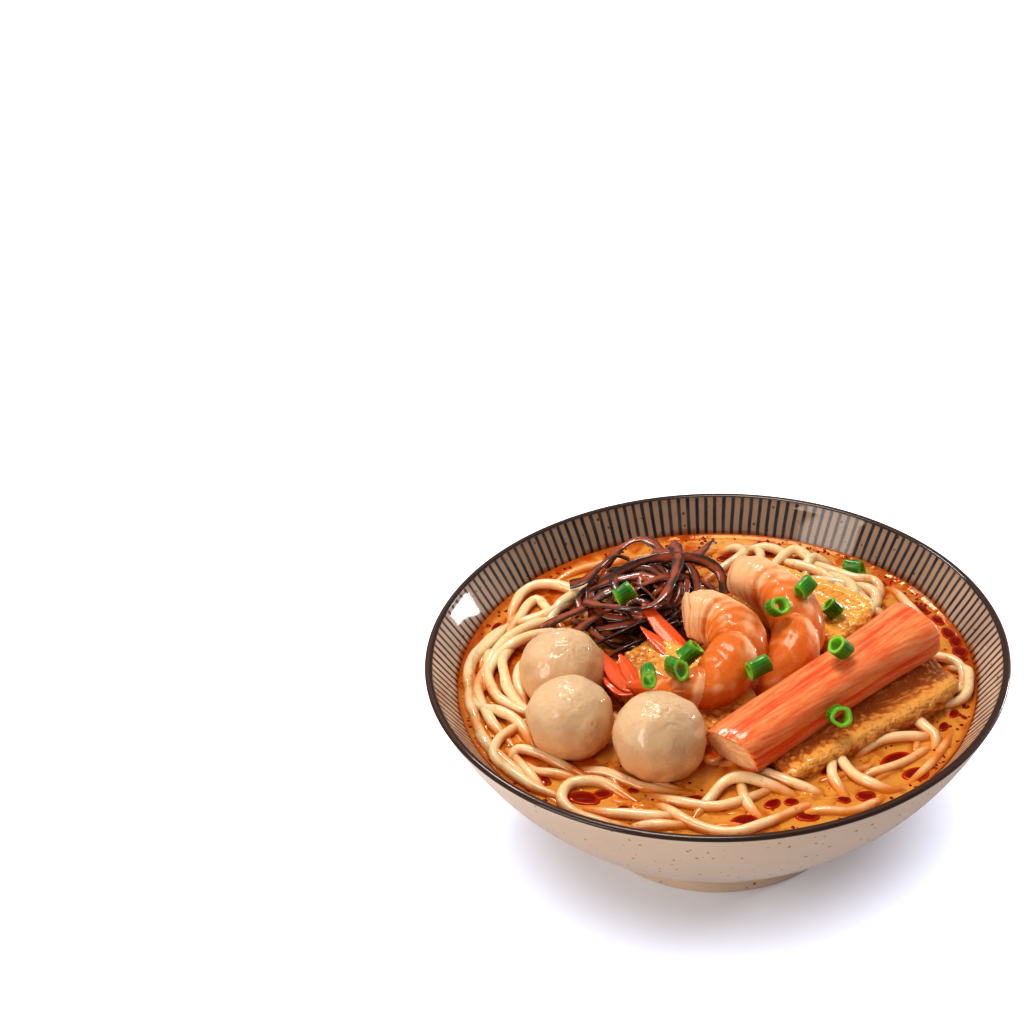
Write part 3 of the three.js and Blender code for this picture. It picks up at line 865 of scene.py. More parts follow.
class LAKSA_OT_broth(bpy.types.Operator):
    """Pours the broth: a level surface that climbs the wall and the noodles a little"""

    bl_idname = "laksa.broth"
    bl_label = "Broth"

    def execute(self, context):
        noodles = context.scene.laksa_noodles
        routes = [through(route, 8) for route in noodle_routes(noodles.seed)]
        spots = [point for route in routes for point in route if point[2] > LEVEL - 4.5]
        tree = kdtree.KDTree(len(spots))
        for index, (x, y, _) in enumerate(spots):
            tree.insert((x, y, 0), index)
        tree.balance()
        radius = noodles.diameter / 2 / MM
        wall = wall_radius_at(LEVEL) + 0.5
        points, under, at_wall, milky = [], [], [], []
        for i in range(1, BROTH_RINGS + 1):
            r = wall * i / BROTH_RINGS
            for angle in round_a_ring(BROTH_SIDES):
                x, y = r * math.cos(angle), r * math.sin(angle)
                _, nearest, distance = tree.find((x, y, 0))
                depth = LEVEL - spots[nearest][2]
                beside = smooth_step(radius * 1.7, radius * 0.4, distance)
                clings = 0.5 * beside * smooth_step(2.5, 0, depth)
                climb = 0.9 * smooth_step(wall - 2.2, wall, r)
                points.append((x, y, LEVEL + clings + climb - 0.15))
                under.append(beside * smooth_step(4.5, 1.0, depth))
                ragged = noise.noise(Vector((x, y, 3)) * 0.16) * 2.4
                at_wall.append(0.8 * smooth_step(wall - 3.4 + ragged, wall - 0.2, r))
                milky.append(
                    max(smooth_step(reach, 0, math.hypot(x - u, y - v)) for u, v, reach in MILKY_PLACES)
                )
        for drop in LOWER_RINGS:
            r = wall_radius_at(LEVEL - drop) + 0.3
            for angle in round_a_ring(BROTH_SIDES):
                points.append((r * math.cos(angle), r * math.sin(angle), LEVEL - drop))
        points += [(0, 0, LEVEL), (0, 0, LEVEL - BROTH_DEPTH)]
        for values in (under, at_wall, milky):
            values += [0.0] * (len(points) - len(values))
        faces = tube_faces(BROTH_RINGS + len(LOWER_RINGS), BROTH_SIDES)
        piece = new_piece(
            "broth_surface", points, faces, coconut_broth(context.scene.laksa_broth),
            {"noodle_under": under, "at_wall": at_wall, "milky": milky},
        )
        settle(piece, "broth", "broth")
        return {"FINISHED"}


# Oil drops that stand out: x, y, half length, half width and the way they point in degrees.
LARGE_DROPS = (
    (-43, -65, 5.7, 3.4, 160), (-37, -63, 3.2, 2.6, 10), (-27, -61, 1.9, 1.6, 0),
    (-8, -66, 4.1, 2.3, 20), (1, -69, 3.5, 2.3, 150), (9, -76, 4.9, 2.5, 5), (18, -68, 3.2, 2.2, 30),
    (24, -67, 2.4, 2.0, 0), (29, -74, 3.8, 2.9, 0), (41, -66, 2.3, 1.8, 0), (48, -64, 3.5, 2.5, 20),
    (59, -46, 7.0, 3.6, 35), (65, -53, 4.9, 3.4, 10), (73, -35, 2.7, 2.0, 60),
    (-56, -56, 2.6, 1.8, 120), (-73, -20, 3.5, 1.6, 140), (-80, -8, 3.0, 1.6, 100),
    (-84, 14, 3.2, 1.4, 80), (-78, 31, 3.2, 1.6, 60), (85, 14, 3.5, 2.6, 100), (82, 25, 3.8, 2.3, 110),
    (79, 33, 3.0, 2.0, 120), (80, -21, 2.4, 1.6, 70), (69, 45, 3.5, 1.6, 130), (60, 57, 3.2, 1.4, 140),
    (4, 74, 3.2, 2.1, 20), (84, 6, 4.2, 2.0, 95), (74, 40, 3.6, 1.8, 125), (84, 20, 3.4, 2.2, 105),
    (-14, -78, 2.6, 1.6, 10), (36, -52, 2.2, 1.4, 30), (76, -28, 2.6, 1.6, 60),
    (-66, -64, 2.2, 1.4, 130), (-30, -70, 2.0, 1.3, 0),
)


WALL_DROPS = 260
SCATTERED_DROPS = 240


class LAKSA_OT_oil(bpy.types.Operator):
    """Drops the chilli oil: flat lenses scattered on the broth, thickest at the wall"""

    bl_idname = "laksa.oil"
    bl_label = "Chilli oil"

    def execute(self, context):
        rng = random.Random(11)
        wall = wall_radius_at(LEVEL)
        drops = list(LARGE_DROPS)
        for _ in range(WALL_DROPS):
            angle = rng.uniform(0, 2 * math.pi)
            r = wall - 1 - abs(rng.gauss(0, 2.6))
            size = rng.uniform(0.3, 1.15)
            drops.append(
                (r * math.cos(angle), r * math.sin(angle), size, size * 0.8, math.degrees(angle))
            )
        for _ in range(SCATTERED_DROPS):
            angle, r = rng.uniform(0, 2 * math.pi), wall * math.sqrt(rng.uniform(0.2, 0.92))
            size = rng.uniform(0.25, 0.8) ** 1.2
            drops.append((r * math.cos(angle), r * math.sin(angle), size, size, 0))
        parts = [self.drop(*drop, phase=i) for i, drop in enumerate(drops)]
        points, faces, attributes = joined(parts)
        piece = new_piece(
            "chilli_oil_drops", points, faces, chilli_oil(context.scene.laksa_broth), attributes,
        )
        settle(piece, "broth")
        return {"FINISHED"}

    @staticmethod
    def drop(x, y, length, width, degrees, phase):
        """A lens with a slightly wavy outline, half sunk in the broth."""
        large = length > 1.2
        sides = 28 if large else 10
        spread = (1.0, 0.94, 0.78, 0.5, 0.22) if large else (1.0, 0.7, 0.3)
        turn = math.radians(degrees)
        wall = wall_radius_at(LEVEL)
        points, rim = [], []
        for ring in spread:
            dome = 0.12 * math.sqrt(1 - ring**2) * min(length, 2.5)
            for a in round_a_ring(sides):
                wave = 1 + 0.06 * math.sin(2 * a + phase) + 0.04 * math.sin(3 * a + 2 * phase)
                u, v = length * ring * wave * math.cos(a), width * ring * wave * math.sin(a)
                px = x + u * math.cos(turn) - v * math.sin(turn)
                py = y + u * math.sin(turn) + v * math.cos(turn)
                climb = 0.9 * smooth_step(wall - 1.7, wall + 0.5, math.hypot(px, py))
                points.append((px, py, LEVEL + climb - 0.12 + 0.22 * (ring < 1) + dome))
                rim.append(ring)
        points += [(x, y, LEVEL - 0.8), (x, y, points[-1][2] + 0.03)]
        rim += [1.0, 0.0]
        return points, tube_faces(len(spread), sides), {"rim": rim}


# ---------- fish balls ----------


def fish_paste(toppings):
    """Fish paste, beaten, rolled and boiled.

    Gives a matt cream with a wet film, faint mottling, a few orange dots of oil, and a warm
    stain where the ball sits in the broth.
    """
    material, tree = new_material("fish paste, boiled")
    place = add(tree, "TexCoord").outputs["Object"]
    apart = add(tree, "SeparateXYZ", inputs={"Vector": place})
    mottle = add(tree, "TexNoise", inputs={"Vector": place, "Scale": per(7), "Detail": 4.0})
    paste = add(
        tree, "Mix", RGBA,
        {
            "Factor": mottle, "A": rgba(toppings.fish_paste),
            "B": shaded(toppings.fish_paste, 0.93, 0.87, 0.78),
        },
    )
    cells = add(tree, "TexVoronoi", inputs={"Vector": place, "Scale": per(7.5)})
    dot = add(
        tree, "MapRange",
        inputs={"Value": cells.outputs["Distance"], "From Min": 0.085, "From Max": 0.055},
    )
    some = add(tree, "Math", {"operation": "GREATER_THAN"}, {0: cells.outputs["Color"], 1: 0.5})
    dot = add(tree, "Math", MULTIPLY, {0: dot, 1: some})
    dotted = add(tree, "Mix", RGBA, {"Factor": dot, "A": paste, "B": fixed("#e07c1c")})
    soak = add(tree, "Math", MULTIPLY_ADD, {0: mottle, 1: -0.003, 2: apart.outputs["Z"]})
    stain = add(
        tree, "MapRange", SMOOTH,
        {"Value": soak, "From Min": (LEVEL + 1.8) * MM, "From Max": (LEVEL - 1.4) * MM, "To Max": 0.95},
    )
    # Painted shade, tinted orange like light bounced off the broth, stronger the lower the skin lies.
    painted_broth_glow = add(
        tree, "MapRange",
        inputs={"Value": soak, "From Min": (LEVEL + 19) * MM, "From Max": LEVEL * MM, "To Max": 0.6},
    )
    with_painted_broth_glow = add(tree, "Mix", RGBA, {"Factor": painted_broth_glow, "A": dotted, "B": fixed("#dc9654")})
    colour = add(tree, "Mix", RGBA, {"Factor": stain, "A": with_painted_broth_glow, "B": fixed("#c9600e")})
    wrinkle = add(
        tree, "TexNoise", inputs={"Vector": place, "Scale": per(2.2), "Detail": 4.0, "Distortion": 0.6},
    )
    shader = add(
        tree, "BsdfPrincipled",
        inputs={
            "Base Color": colour, "Roughness": 0.5, "Specular IOR Level": 0.35,
            "Subsurface Weight": 0.7, "Subsurface Radius": (1.0, 0.7, 0.5), "Subsurface Scale": 0.004,
            "Coat Weight": 0.5, "Coat Roughness": 0.1,
        },
    )
    finish_material(tree, shader, wrinkle, depth=0.36)
    return material


class LAKSA_OT_fish_balls(bpy.types.Operator):
    """Rolls the fish balls: slightly flattened, lumpy, with skin wrinkles round the top"""

    bl_idname = "laksa.fish_balls"
    bl_label = "Fish balls"

    def execute(self, context):
        material = fish_paste(context.scene.laksa_toppings)
        for number in (1, 2, 3):
            node = f"fish_ball_{number}"
            low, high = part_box(node)
            centre, half = (low + high) / 2 / MM, (high - low) / 2 / MM
            ball = bmesh.new()
            bmesh.ops.create_icosphere(ball, subdivisions=6, radius=1)
            points = []
            for vertex in ball.verts:
                way = vertex.co.normalized()
                seed = way * 1.3 + Vector((7 * number, 0, 0))
                lump = 0.05 * noise.noise(seed) + 0.035 * noise.noise(seed * 2.3)
                crown = smooth_step(0.45, 0.95, way.z)
                crease = abs(noise.noise(Vector((way.x * 5, way.y * 9, number + way.z * 4))))
                dent = -0.022 * crown * (1 - smooth_step(0, 0.16, crease))
                pit = -0.006 * smooth_step(0.25, 0.6, noise.noise(way * 7 + Vector((number, 9, 0))))
                stretch = 1 + lump + dent + pit
                squash = 0.965 if way.z > 0 else 1.0
                x, y = centre.x + way.x * half.x * stretch, centre.y + way.y * half.y * stretch
                points.append((x, y, centre.z + way.z * half.z * stretch * squash))
            faces = [tuple(v.index for v in face.verts) for face in ball.faces]
            ball.free()
            piece = new_piece(f"fish_paste_ball_{number}", points, faces, material)
            settle(piece, "fish_paste", node)
        return {"FINISHED"}


# ---------- crab stick ----------


def surimi(toppings):
    """Crab stick, made of pressed fish-paste strands with a dyed skin.

    Gives long orange-red strands with paler streaks in their grooves, and pale flesh at the cut.
    """
    material, tree = new_material("surimi crab stick, pressed strands")
    around = add(tree, "Attribute", {"attribute_name": "groove"}).outputs["Fac"]
    cut = add(tree, "Attribute", {"attribute_name": "cut_face"}).outputs["Fac"]
    place = add(tree, "TexCoord").outputs["Object"]
    # The stick's own length runs along X after this turn, so streaks can be stretched along it.
    turned = add(
        tree, "Mapping", {"vector_type": "TEXTURE"},
        {"Vector": place, "Rotation": (0, 0, math.radians(CRAB_TURN)), "Scale": (16, 1, 1)},
    )
    streak = add(tree, "TexNoise", inputs={"Vector": turned, "Scale": per(1.1), "Detail": 6.0})
    blotch = add(tree, "TexNoise", inputs={"Vector": place, "Scale": per(14), "Detail": 2.0})
    pale = add(tree, "Math", MULTIPLY_ADD, {0: around, 1: -0.32, 2: streak})
    pale = add(tree, "Math", MULTIPLY_ADD, {0: blotch, 1: 0.35, 2: pale})
    pale = add(
        tree, "MapRange", SMOOTH, {"Value": pale, "From Min": 0.34, "From Max": 1.05, "To Max": 0.95},
    )
    skin = add(
        tree, "Mix", RGBA,
        {"Factor": pale, "A": rgba(toppings.crab_skin), "B": rgba(toppings.crab_flesh)},
    )
    fibre = add(tree, "TexNoise", inputs={"Vector": place, "Scale": per(1.5), "Detail": 3.0})
    flesh = add(tree, "Mix", RGBA, {"Factor": fibre, "A": fixed("#fbaa66"), "B": fixed("#ffe2b4")})
    colour = add(tree, "Mix", RGBA, {"Factor": cut, "A": skin, "B": flesh})
    height = add(tree, "Math", MULTIPLY_ADD, {0: streak, 1: 1.0, 2: fibre})
    shader = add(
        tree, "BsdfPrincipled",
        inputs={
            "Base Color": colour, "Roughness": 0.5, "Specular IOR Level": 0.15,
            "Subsurface Weight": 0.2, "Subsurface Radius": (1.0, 0.4, 0.2), "Subsurface Scale": 0.0025,
            "Coat Weight": 0.6, "Coat Roughness": 0.08,
        },
    )
    finish_material(tree, shader, height, depth=0.25)
    return material


# Turn in degrees, middles of the two ends, and half width and half height.
CRAB_TURN = 40.6
CRAB_START = Vector((5, -51.5, 66))
CRAB_END = Vector((69.8, 4.0, 76))
CRAB_HALF = (10.0, 8.5)
# Place along the stick, and the share of its width and height there.
CRAB_SWELL = (
    (0, 0.93, 0.9), (0.04, 0.98, 0.97), (0.2, 0.98, 1.0), (0.45, 0.95, 0.98), (0.7, 0.98, 0.98),
    (0.85, 1.05, 1.0), (0.94, 1.12, 1.02), (0.985, 1.08, 0.93), (1.0, 0.94, 0.76),
)
CRAB_SIDES = 144
CRAB_STRANDS = 9
# Rings at the near end that the slanting cut pulls along.
CUT_RINGS = 24


class LAKSA_OT_crab_stick(bpy.types.Operator):
    """Presses the crab stick: strands side by side, a slanting cut and a spread far end"""

    bl_idname = "laksa.crab_stick"
    bl_label = "Crab stick"

    def execute(self, context):
        rng = random.Random(3)
        stations = [
            (*CRAB_START.lerp(CRAB_END, t), CRAB_HALF[0] * wide, CRAB_HALF[1] * tall)
            for t, wide, tall in CRAB_SWELL
        ]
        strands = [(rng.uniform(0, 2 * math.pi), rng.uniform(0.5, 1)) for _ in range(CRAB_STRANDS)]

        def groove_at(t, angle):
            depth = 0
            for k, (at, strength) in enumerate(strands):
                lie = at + 0.25 * math.sin(2 * t + k)
                away = math.atan2(math.sin(angle - lie), math.cos(angle - lie))
                depth += strength * math.exp(-((away / 0.085) ** 2))
            return min(depth, 1)

        def outline(t, angle):
            c, s = math.cos(angle), math.sin(angle)
            corner = (abs(c) ** 3 + abs(s) ** 3) ** (-1 / 3)
            far = smooth_step(0.86, 1.0, t)
            notch = 0.26 * far * math.exp(-(((angle - math.radians(72)) / 0.2) ** 2))
            swell = 0.02 * noise.noise(Vector((7 * t, 2 * c, 2 * s)))
            size = corner * (1 + swell - 0.055 * groove_at(t, angle) - notch)
            return size * c, size * s

        sides = CRAB_SIDES
        points, faces, _ = drawn_out(stations, sides, 20, outline)
        rings = (len(points) - 2) // sides
        # The near end is cut on a slant: its upper left corner runs ahead of the lower right.
        direction = (CRAB_END - CRAB_START).normalized()
        across = direction.cross(Vector((0, 0, 1)))
        for i in range(CUT_RINGS):
            fade = 1 - i / CUT_RINGS
            for j in range(sides):
                point = points[i * sides + j]
                offset = point - CRAB_START
                slant = -0.22 * across.dot(offset) + 0.25 * offset.z
                points[i * sides + j] = point - direction * slant * fade
        groove, cut_face = [], []
        for i in range(rings):
            for j in range(sides):
                groove.append(groove_at(i / (rings - 1), 2 * math.pi * j / sides))
                cut_face.append(0.0)
        groove += [0.0, 0.0]
        cut_face += [1.0, 1.0]
        inner, inner_attributes = self.end_face(points[:sides], points[-2], direction, sides)
        base = len(points)
        points += inner
        faces = [face for face in faces if base - 2 not in face]
        previous = list(range(sides))
        for ring in range(len(inner) // sides):
            current = [base + ring * sides + j for j in range(sides)]
            for j in range(sides):
                k = (j + 1) % sides
                faces.append((previous[k], previous[j], current[j], current[k]))
            previous = current
        for j in range(sides):
            faces.append((previous[(j + 1) % sides], previous[j], base - 2))
        groove += [0.0] * len(inner)
        cut_face += inner_attributes
        piece = new_piece(
            "crab_stick_strands", points, faces, surimi(context.scene.laksa_toppings),
            {"groove": groove, "cut_face": cut_face},
        )
        settle(piece, "crab_stick", "crab_stick")
        return {"FINISHED"}

    @staticmethod
    def end_face(rim, middle, direction, sides):
        """Rings that fill the cut end, with the torn relief of its strands."""
        points, shown = [], []
        for share in (0.93, 0.82, 0.66, 0.48, 0.3, 0.14):
            for j in range(sides):
                flat = middle.lerp(rim[j], share)
                torn = 0.5 * noise.noise(flat * 0.55) + 0.35 * noise.noise(flat * 1.3)
                points.append(flat + direction * (0.6 - 0.5 * share + torn))
                shown.append(smooth_step(0.98, 0.86, share))
        return points, shown


# ---------- prawns ----------


def prawn_flesh(toppings):
    """Prawn, peeled and boiled.

    Gives springy white flesh under bands of orange, pale at the head end and at the edges of the
    segments, with a film of broth.
    """
    material, tree = new_material("prawn, peeled and boiled")
    place = add(tree, "TexCoord").outputs["Object"]
    pale_at = add(tree, "Attribute", {"attribute_name": "pale"}).outputs["Fac"]
    tail_at = add(tree, "Attribute", {"attribute_name": "tail"}).outputs["Fac"]
    crimson_at = add(tree, "Attribute", {"attribute_name": "crimson"}).outputs["Fac"]
    blotch = add(
        tree, "TexNoise", inputs={"Vector": place, "Scale": per(5), "Detail": 5.0, "Distortion": 0.5},
    )
    pigment = add(
        tree, "TexNoise", inputs={"Vector": place, "Scale": per(1.6), "Detail": 4.0, "Distortion": 1.0},
    )
    paleness = add(tree, "Math", MULTIPLY_ADD, {0: blotch, 1: 0.9, 2: pale_at})
    paleness = add(tree, "MapRange", SMOOTH, {"Value": paleness, "From Min": 0.46, "From Max": 1.1})
    orange = add(
        tree, "Mix", RGBA,
        {
            "Factor": pigment, "A": rgba(toppings.prawn_orange),
            "B": shaded(toppings.prawn_orange, 1.1, 2.4, 5.0),
        },
    )
    banded = add(tree, "Mix", RGBA, {"Factor": paleness, "A": orange, "B": rgba(toppings.prawn_flesh)})
    tailed = add(tree, "Mix", RGBA, {"Factor": tail_at, "A": banded, "B": rgba(toppings.prawn_tail)})
    colour = add(tree, "Mix", RGBA, {"Factor": crimson_at, "A": tailed, "B": fixed("#c01028")})
    height = add(tree, "Math", MULTIPLY_ADD, {0: pigment, 1: 0.5, 2: blotch})
    shader = add(
        tree, "BsdfPrincipled",
        inputs={
            "Base Color": colour, "Roughness": 0.5, "Specular IOR Level": 0.15,
            "Subsurface Weight": 0.3, "Subsurface Radius": (1.0, 0.45, 0.25), "Subsurface Scale": 0.002,
            "Coat Weight": 0.35, "Coat Roughness": 0.06,
        },
    )
    finish_material(tree, shader, height, depth=0.28)
    return material


# Each prawn: stations of x, y, z, half width and half height from the cut head end to the tail,
# and the same for the blades of the tail fan.
PRAWNS = {
    "prawn_1": (
        (
            (-10.4, 11, 76, 5.4, 5.4),
            (-9.6, 11.1, 76, 7.2, 7.0),
            (-7, 11.2, 76, 8.2, 8.0),
            (-1, 9.5, 76, 9.0, 8.6),
            (5, 4, 75.5, 9.6, 9),
            (7.5, -5, 74.5, 9.7, 9),
            (4.5, -15, 73, 9.4, 8.6),
            (-2, -22, 71, 8.2, 7.8),
            (-10, -23.5, 69, 6.0, 6.4),
            (-17, -20.5, 67.5, 4.0, 4.8),
            (-25, -17.8, 66, 3.1, 3.6),
            (-29.5, -16.5, 66, 2.4, 2.6),
        ),
        (
            ((-27, -17.5, 66, 2.4, 1.8), (-30, -16, 66.5, 3.4, 1.2), (-34, -10, 67.5, 3.4, 0.9),
             (-37, -5, 68.5, 2.2, 0.7), (-38.6, -0.8, 69.5, 0.4, 0.3)),
            ((-27, -17, 66.5, 2.0, 1.4), (-28.6, -12, 67.5, 2.6, 0.9), (-30.6, -7, 68.5, 2.4, 0.7),
             (-32.6, -2.4, 69.5, 0.5, 0.3)),
            ((-27, -18, 65.5, 2.0, 1.4), (-31, -18, 65.5, 2.8, 0.9), (-35, -15, 65.8, 2.2, 0.7),
             (-38, -11, 66, 0.5, 0.3)),
        ),
    ),
    "prawn_2": (
        (
            (8.2, 40.2, 73, 5.2, 5.0),
            (8.9, 39.6, 73, 7.0, 6.4),
            (11.2, 37.8, 73.5, 7.8, 7.3),
            (17, 33, 74, 8.4, 8),
            (24, 24.5, 73.5, 9, 8.4),
            (28, 11, 72, 9.2, 8.4),
            (26.5, -2, 69, 8.6, 7.6),
            (19, -10.5, 65.5, 7, 6),
            (9, -8.5, 62.5, 5, 4.2),
            (-1, -1, 63, 4.0, 3.6),
            (-8, 2, 65, 3.6, 3.4),
            (-12, 3, 66, 2.6, 2.4),
        ),
        (
            ((-9, 2.5, 65.5, 2.8, 1.8), (-13.5, 8, 67, 3.6, 1.2), (-19, 15.5, 69, 3.2, 0.9),
             (-23, 21.5, 71, 2.2, 0.7), (-25.2, 24.4, 72, 0.5, 0.3)),
            ((-9, 2, 65, 2.6, 1.6), (-14.5, 3.6, 66, 3.6, 1.1), (-20, 8, 67.5, 2.6, 0.8),
             (-25.8, 13.8, 69.5, 0.4, 0.3)),
            ((-9, 1.5, 64.5, 2.4, 1.4), (-14, 0, 64.5, 3.0, 0.9), (-19, 2, 65, 2.0, 0.7),
             (-23, 5, 65.5, 0.4, 0.3)),
        ),
    ),
}
SEGMENTS = 6


def prawn_body(stations):
    """The curled body: swelling segments with a step at each edge and a creased belly."""

    def phase_at(t, angle):
        return t * SEGMENTS + 0.16 * math.sin(angle) + 0.1 * math.cos(angle)

    def outline(t, angle):
        c, s = math.cos(angle), math.sin(angle)
        phase = phase_at(t, angle) % 1
        fade = smooth_step(0.02, 0.1, t) * smooth_step(1.0, 0.82, t)
        swell = 0.09 * math.sin(math.pi * phase)
        edge = math.exp(-((min(phase, 1 - phase) / 0.055) ** 2))
        belly = smooth_step(-0.2, 1, c)
        crease = -(0.06 + 0.08 * belly) * edge
        muscle = 0.012 * math.sin(9 * angle + 5 * t) * (1 - belly)
        muscle += 0.012 * fade * math.sin(8 * math.pi * phase)
        size = 1 + fade * (swell + crease + muscle)
        size += 0.03 * noise.noise(Vector((3 * c, 3 * s, 9 * t)))
        keel = 1 - 0.08 * belly
        return size * c * keel, size * s

    points, faces, attributes = drawn_out(stations, 72, 16, outline)
    pale, tail, crimson = [], [], []
    for t, u, v in zip(attributes["along"], attributes["across"], attributes["upward"]):
        angle = math.atan2(v, u)
        phase = phase_at(t, angle) % 1
        head = smooth_step(0.46, 0.2, t + 0.05 * u)
        fibre = math.sin(8 * math.pi * phase_at(t, angle))
        back = smooth_step(0.1, -0.8, u)
        lead = smooth_step(0.34, 0.06, phase) * smooth_step(0.95, 0.75, t)
        patch = smooth_step(0.16, 0.5, noise.noise(Vector((u * 1.5, v * 1.5, t * 11))))
        pale.append(head * 0.7 + 0.6 * lead * back + 0.3 * patch + 0.12 * fibre)
        tail.append(smooth_step(0.74, 0.97, t) * 0.75)
        crimson.append(0.0)
    return points, faces, {"pale": pale, "tail": tail, "crimson": crimson}


def prawn_blade(stations):
    """One blade of the tail fan: a thin leaf with a rib down its middle."""

    def outline(t, angle):
        c, s = math.cos(angle), math.sin(angle)
        rib = 0.7 * math.exp(-((c / 0.2) ** 2)) * (1 - t)
        return c * (1 + 0.04 * math.sin(18 * t)), s * (0.55 + rib)

    points, faces, attributes = drawn_out(stations, 28, 10, outline)
    edge = [smooth_step(0.72, 0.98, abs(u)) for u in attributes["across"]]
    tip = [smooth_step(0.1, 0.8, t) for t in attributes["along"]]
    crimson = [0.85 * e * k for e, k in zip(edge, tip)]
    return points, faces, {"pale": [0.0] * len(points), "tail": [0.85] * len(points), "crimson": crimson}


class LAKSA_OT_prawns(bpy.types.Operator):
    """Curls the prawns: ringed bodies with a cut head end and a fanned tail"""

    bl_idname = "laksa.prawns"
    bl_label = "Prawns"

    def execute(self, context):
        material = prawn_flesh(context.scene.laksa_toppings)
        for node, (stations, blades) in PRAWNS.items():
            parts = [prawn_body(stations)] + [prawn_blade(blade) for blade in blades]
            points, faces, attributes = joined(parts)
            piece = new_piece(node + "_flesh", points, faces, material, attributes)
            settle(piece, "prawn", node)
        return {"FINISHED"}


# ---------- fried tofu ----------


def tofu_crust(toppings, name, gold):
    """Tofu, deep fried.

    Gives a dry golden crust of small blisters that is browner in its hollows and wet with oil, with
    painted light on its raised edges.
    """
    material, tree = new_material(name)
    place = add(tree, "TexCoord").outputs["Object"]
    raised = add(tree, "Attribute", {"attribute_name": "blister_and_edge_light"}).outputs["Fac"]
    patch = add(tree, "TexNoise", inputs={"Vector": place, "Scale": per(10), "Detail": 3.0})
    grain = add(tree, "TexNoise", inputs={"Vector": place, "Scale": per(1.0), "Detail": 4.0})
    # This mark holds the pale blisters and the painted light on the raised edges.
    lightness = add(tree, "Math", MULTIPLY_ADD, {0: patch, 1: 0.7, 2: raised})
    lightness = add(tree, "Math", MULTIPLY_ADD, {0: grain, 1: 0.5, 2: lightness})
    lightness = add(
        tree, "MapRange", SMOOTH,
        {"Value": lightness, "From Min": 0.75 - gold, "From Max": 1.45 - gold},
    )
    colour = add(
        tree, "Mix", RGBA,
        {
            "Factor": lightness, "A": rgba(toppings.tofu_crust),
            "B": shaded(toppings.tofu_blister, 1 + gold / 8, 1 + gold / 8, 1 - gold / 4),
        },
    )
    bubbles = add(tree, "TexVoronoi", {"feature": "SMOOTH_F1"}, {"Vector": place, "Scale": per(1.1)})
    height = add(tree, "Math", SUBTRACT, {0: grain, 1: bubbles.outputs["Distance"]})
    shader = add(
        tree, "BsdfPrincipled",
        inputs={
            "Base Color": colour, "Roughness": 0.6, "Specular IOR Level": 0.25,
            "Subsurface Weight": 0.12, "Subsurface Radius": (1.0, 0.5, 0.2), "Subsurface Scale": 0.0015,
            "Coat Weight": 0.6, "Coat Roughness": 0.1,
        },
    )
    finish_material(tree, shader, height, depth=0.6)
    return material


# Fried tofu: node, length, width, bow, middle, turns in degrees and extra gold in its colour.
TOFU = (
    ("fried_tofu_1", 76, 28, 1.2, (46.4, -25.5, 60.3), (6, -2.5, 38.5), 0.0),
    ("fried_tofu_2", 54, 32, -0.8, (-13, -13, 61.5), (4, 0, -47), 0.4),
    ("fried_tofu_3", 48, 26, 0.8, (31.5, 33.5, 62.5), (8, -3, -41), 0.75),
)
TOFU_THICKNESS = 8
TOFU_SIDES = 200
TOFU_RINGS = 104


def tofu_slab(length, width, bow, middle, turns, number):
    """A puffed slab whose crust is raised in blisters, most of all along its edges."""
    place = placed(middle, turns)
    points, blisters_and_edge_light = [], []
    for i in range(1, TOFU_RINGS):
        polar = math.pi * i / TOFU_RINGS
        for angle in round_a_ring(TOFU_SIDES):
            c, s = math.cos(angle), math.sin(angle)
            plan = (abs(c) ** 5 + abs(s) ** 5) ** (-1 / 5)
            reach = math.sin(polar) ** 0.32
            u, v = plan * c * reach, plan * s * reach
            tall = math.copysign(abs(math.cos(polar)) ** 0.55, math.cos(polar))
            puff = 1 + 0.1 * math.sin(2.4 * u + number) * math.cos(1.7 * v)
            x = length / 2 * u * (1 + 0.02 * math.sin(5 * v))
            y = width / 2 * v * (1 + 0.05 * math.sin(3 * u))
            z = TOFU_THICKNESS / 2 * tall * puff + bow * (u * u - 0.4)
            spot = Vector((x, y, z + 31 * number))
            rough = smooth_step(0.55, 1.0, max(abs(u), abs(v)))
            cells = noise.voronoi(spot * 0.42)[0][0]
            bubble = max(0, 0.62 - cells)
            fine = noise.noise(spot * 0.9)
            edge = math.exp(-(((abs(v) - 0.76) / 0.22) ** 2))
            rise = (0.35 + 0.6 * rough) * bubble * 1.3 + 0.2 * fine + 2.2 * edge * max(tall, 0)
            out = Vector((u * abs(u), v * abs(v), tall)).normalized()
            points.append(place @ (Vector((x, y, z)) + out * rise))
            # The raised edges are painted paler, as light falling on them; the blisters are paler in
            # their own colour.
            blisters_and_edge_light.append(min(1, bubble * 1.3 + 0.4 * fine + 0.75 * edge))
    for tall in (1, -1):
        points.append(place @ Vector((0, 0, tall * TOFU_THICKNESS / 2 - 0.4 * bow)))
        blisters_and_edge_light.append(0.0)
    return points, tube_faces(TOFU_RINGS - 1, TOFU_SIDES), {"blister_and_edge_light": blisters_and_edge_light}


class LAKSA_OT_tofu(bpy.types.Operator):
    """Fries the tofu: puffed slabs with a blistered crust"""

    bl_idname = "laksa.tofu"
    bl_label = "Fried tofu"

    def execute(self, context):
        toppings = context.scene.laksa_toppings
        for number, (node, length, width, bow, middle, turns, gold) in enumerate(TOFU):
            points, faces, attributes = tofu_slab(length, width, bow, middle, turns, number)
            material = tofu_crust(toppings, f"tofu, deep fried {number + 1}", gold)
            piece = new_piece(node + "_crust", points, faces, material, attributes)
            settle(piece, "fried_tofu", node)
        return {"FINISHED"}


# ---------- wood ear ----------


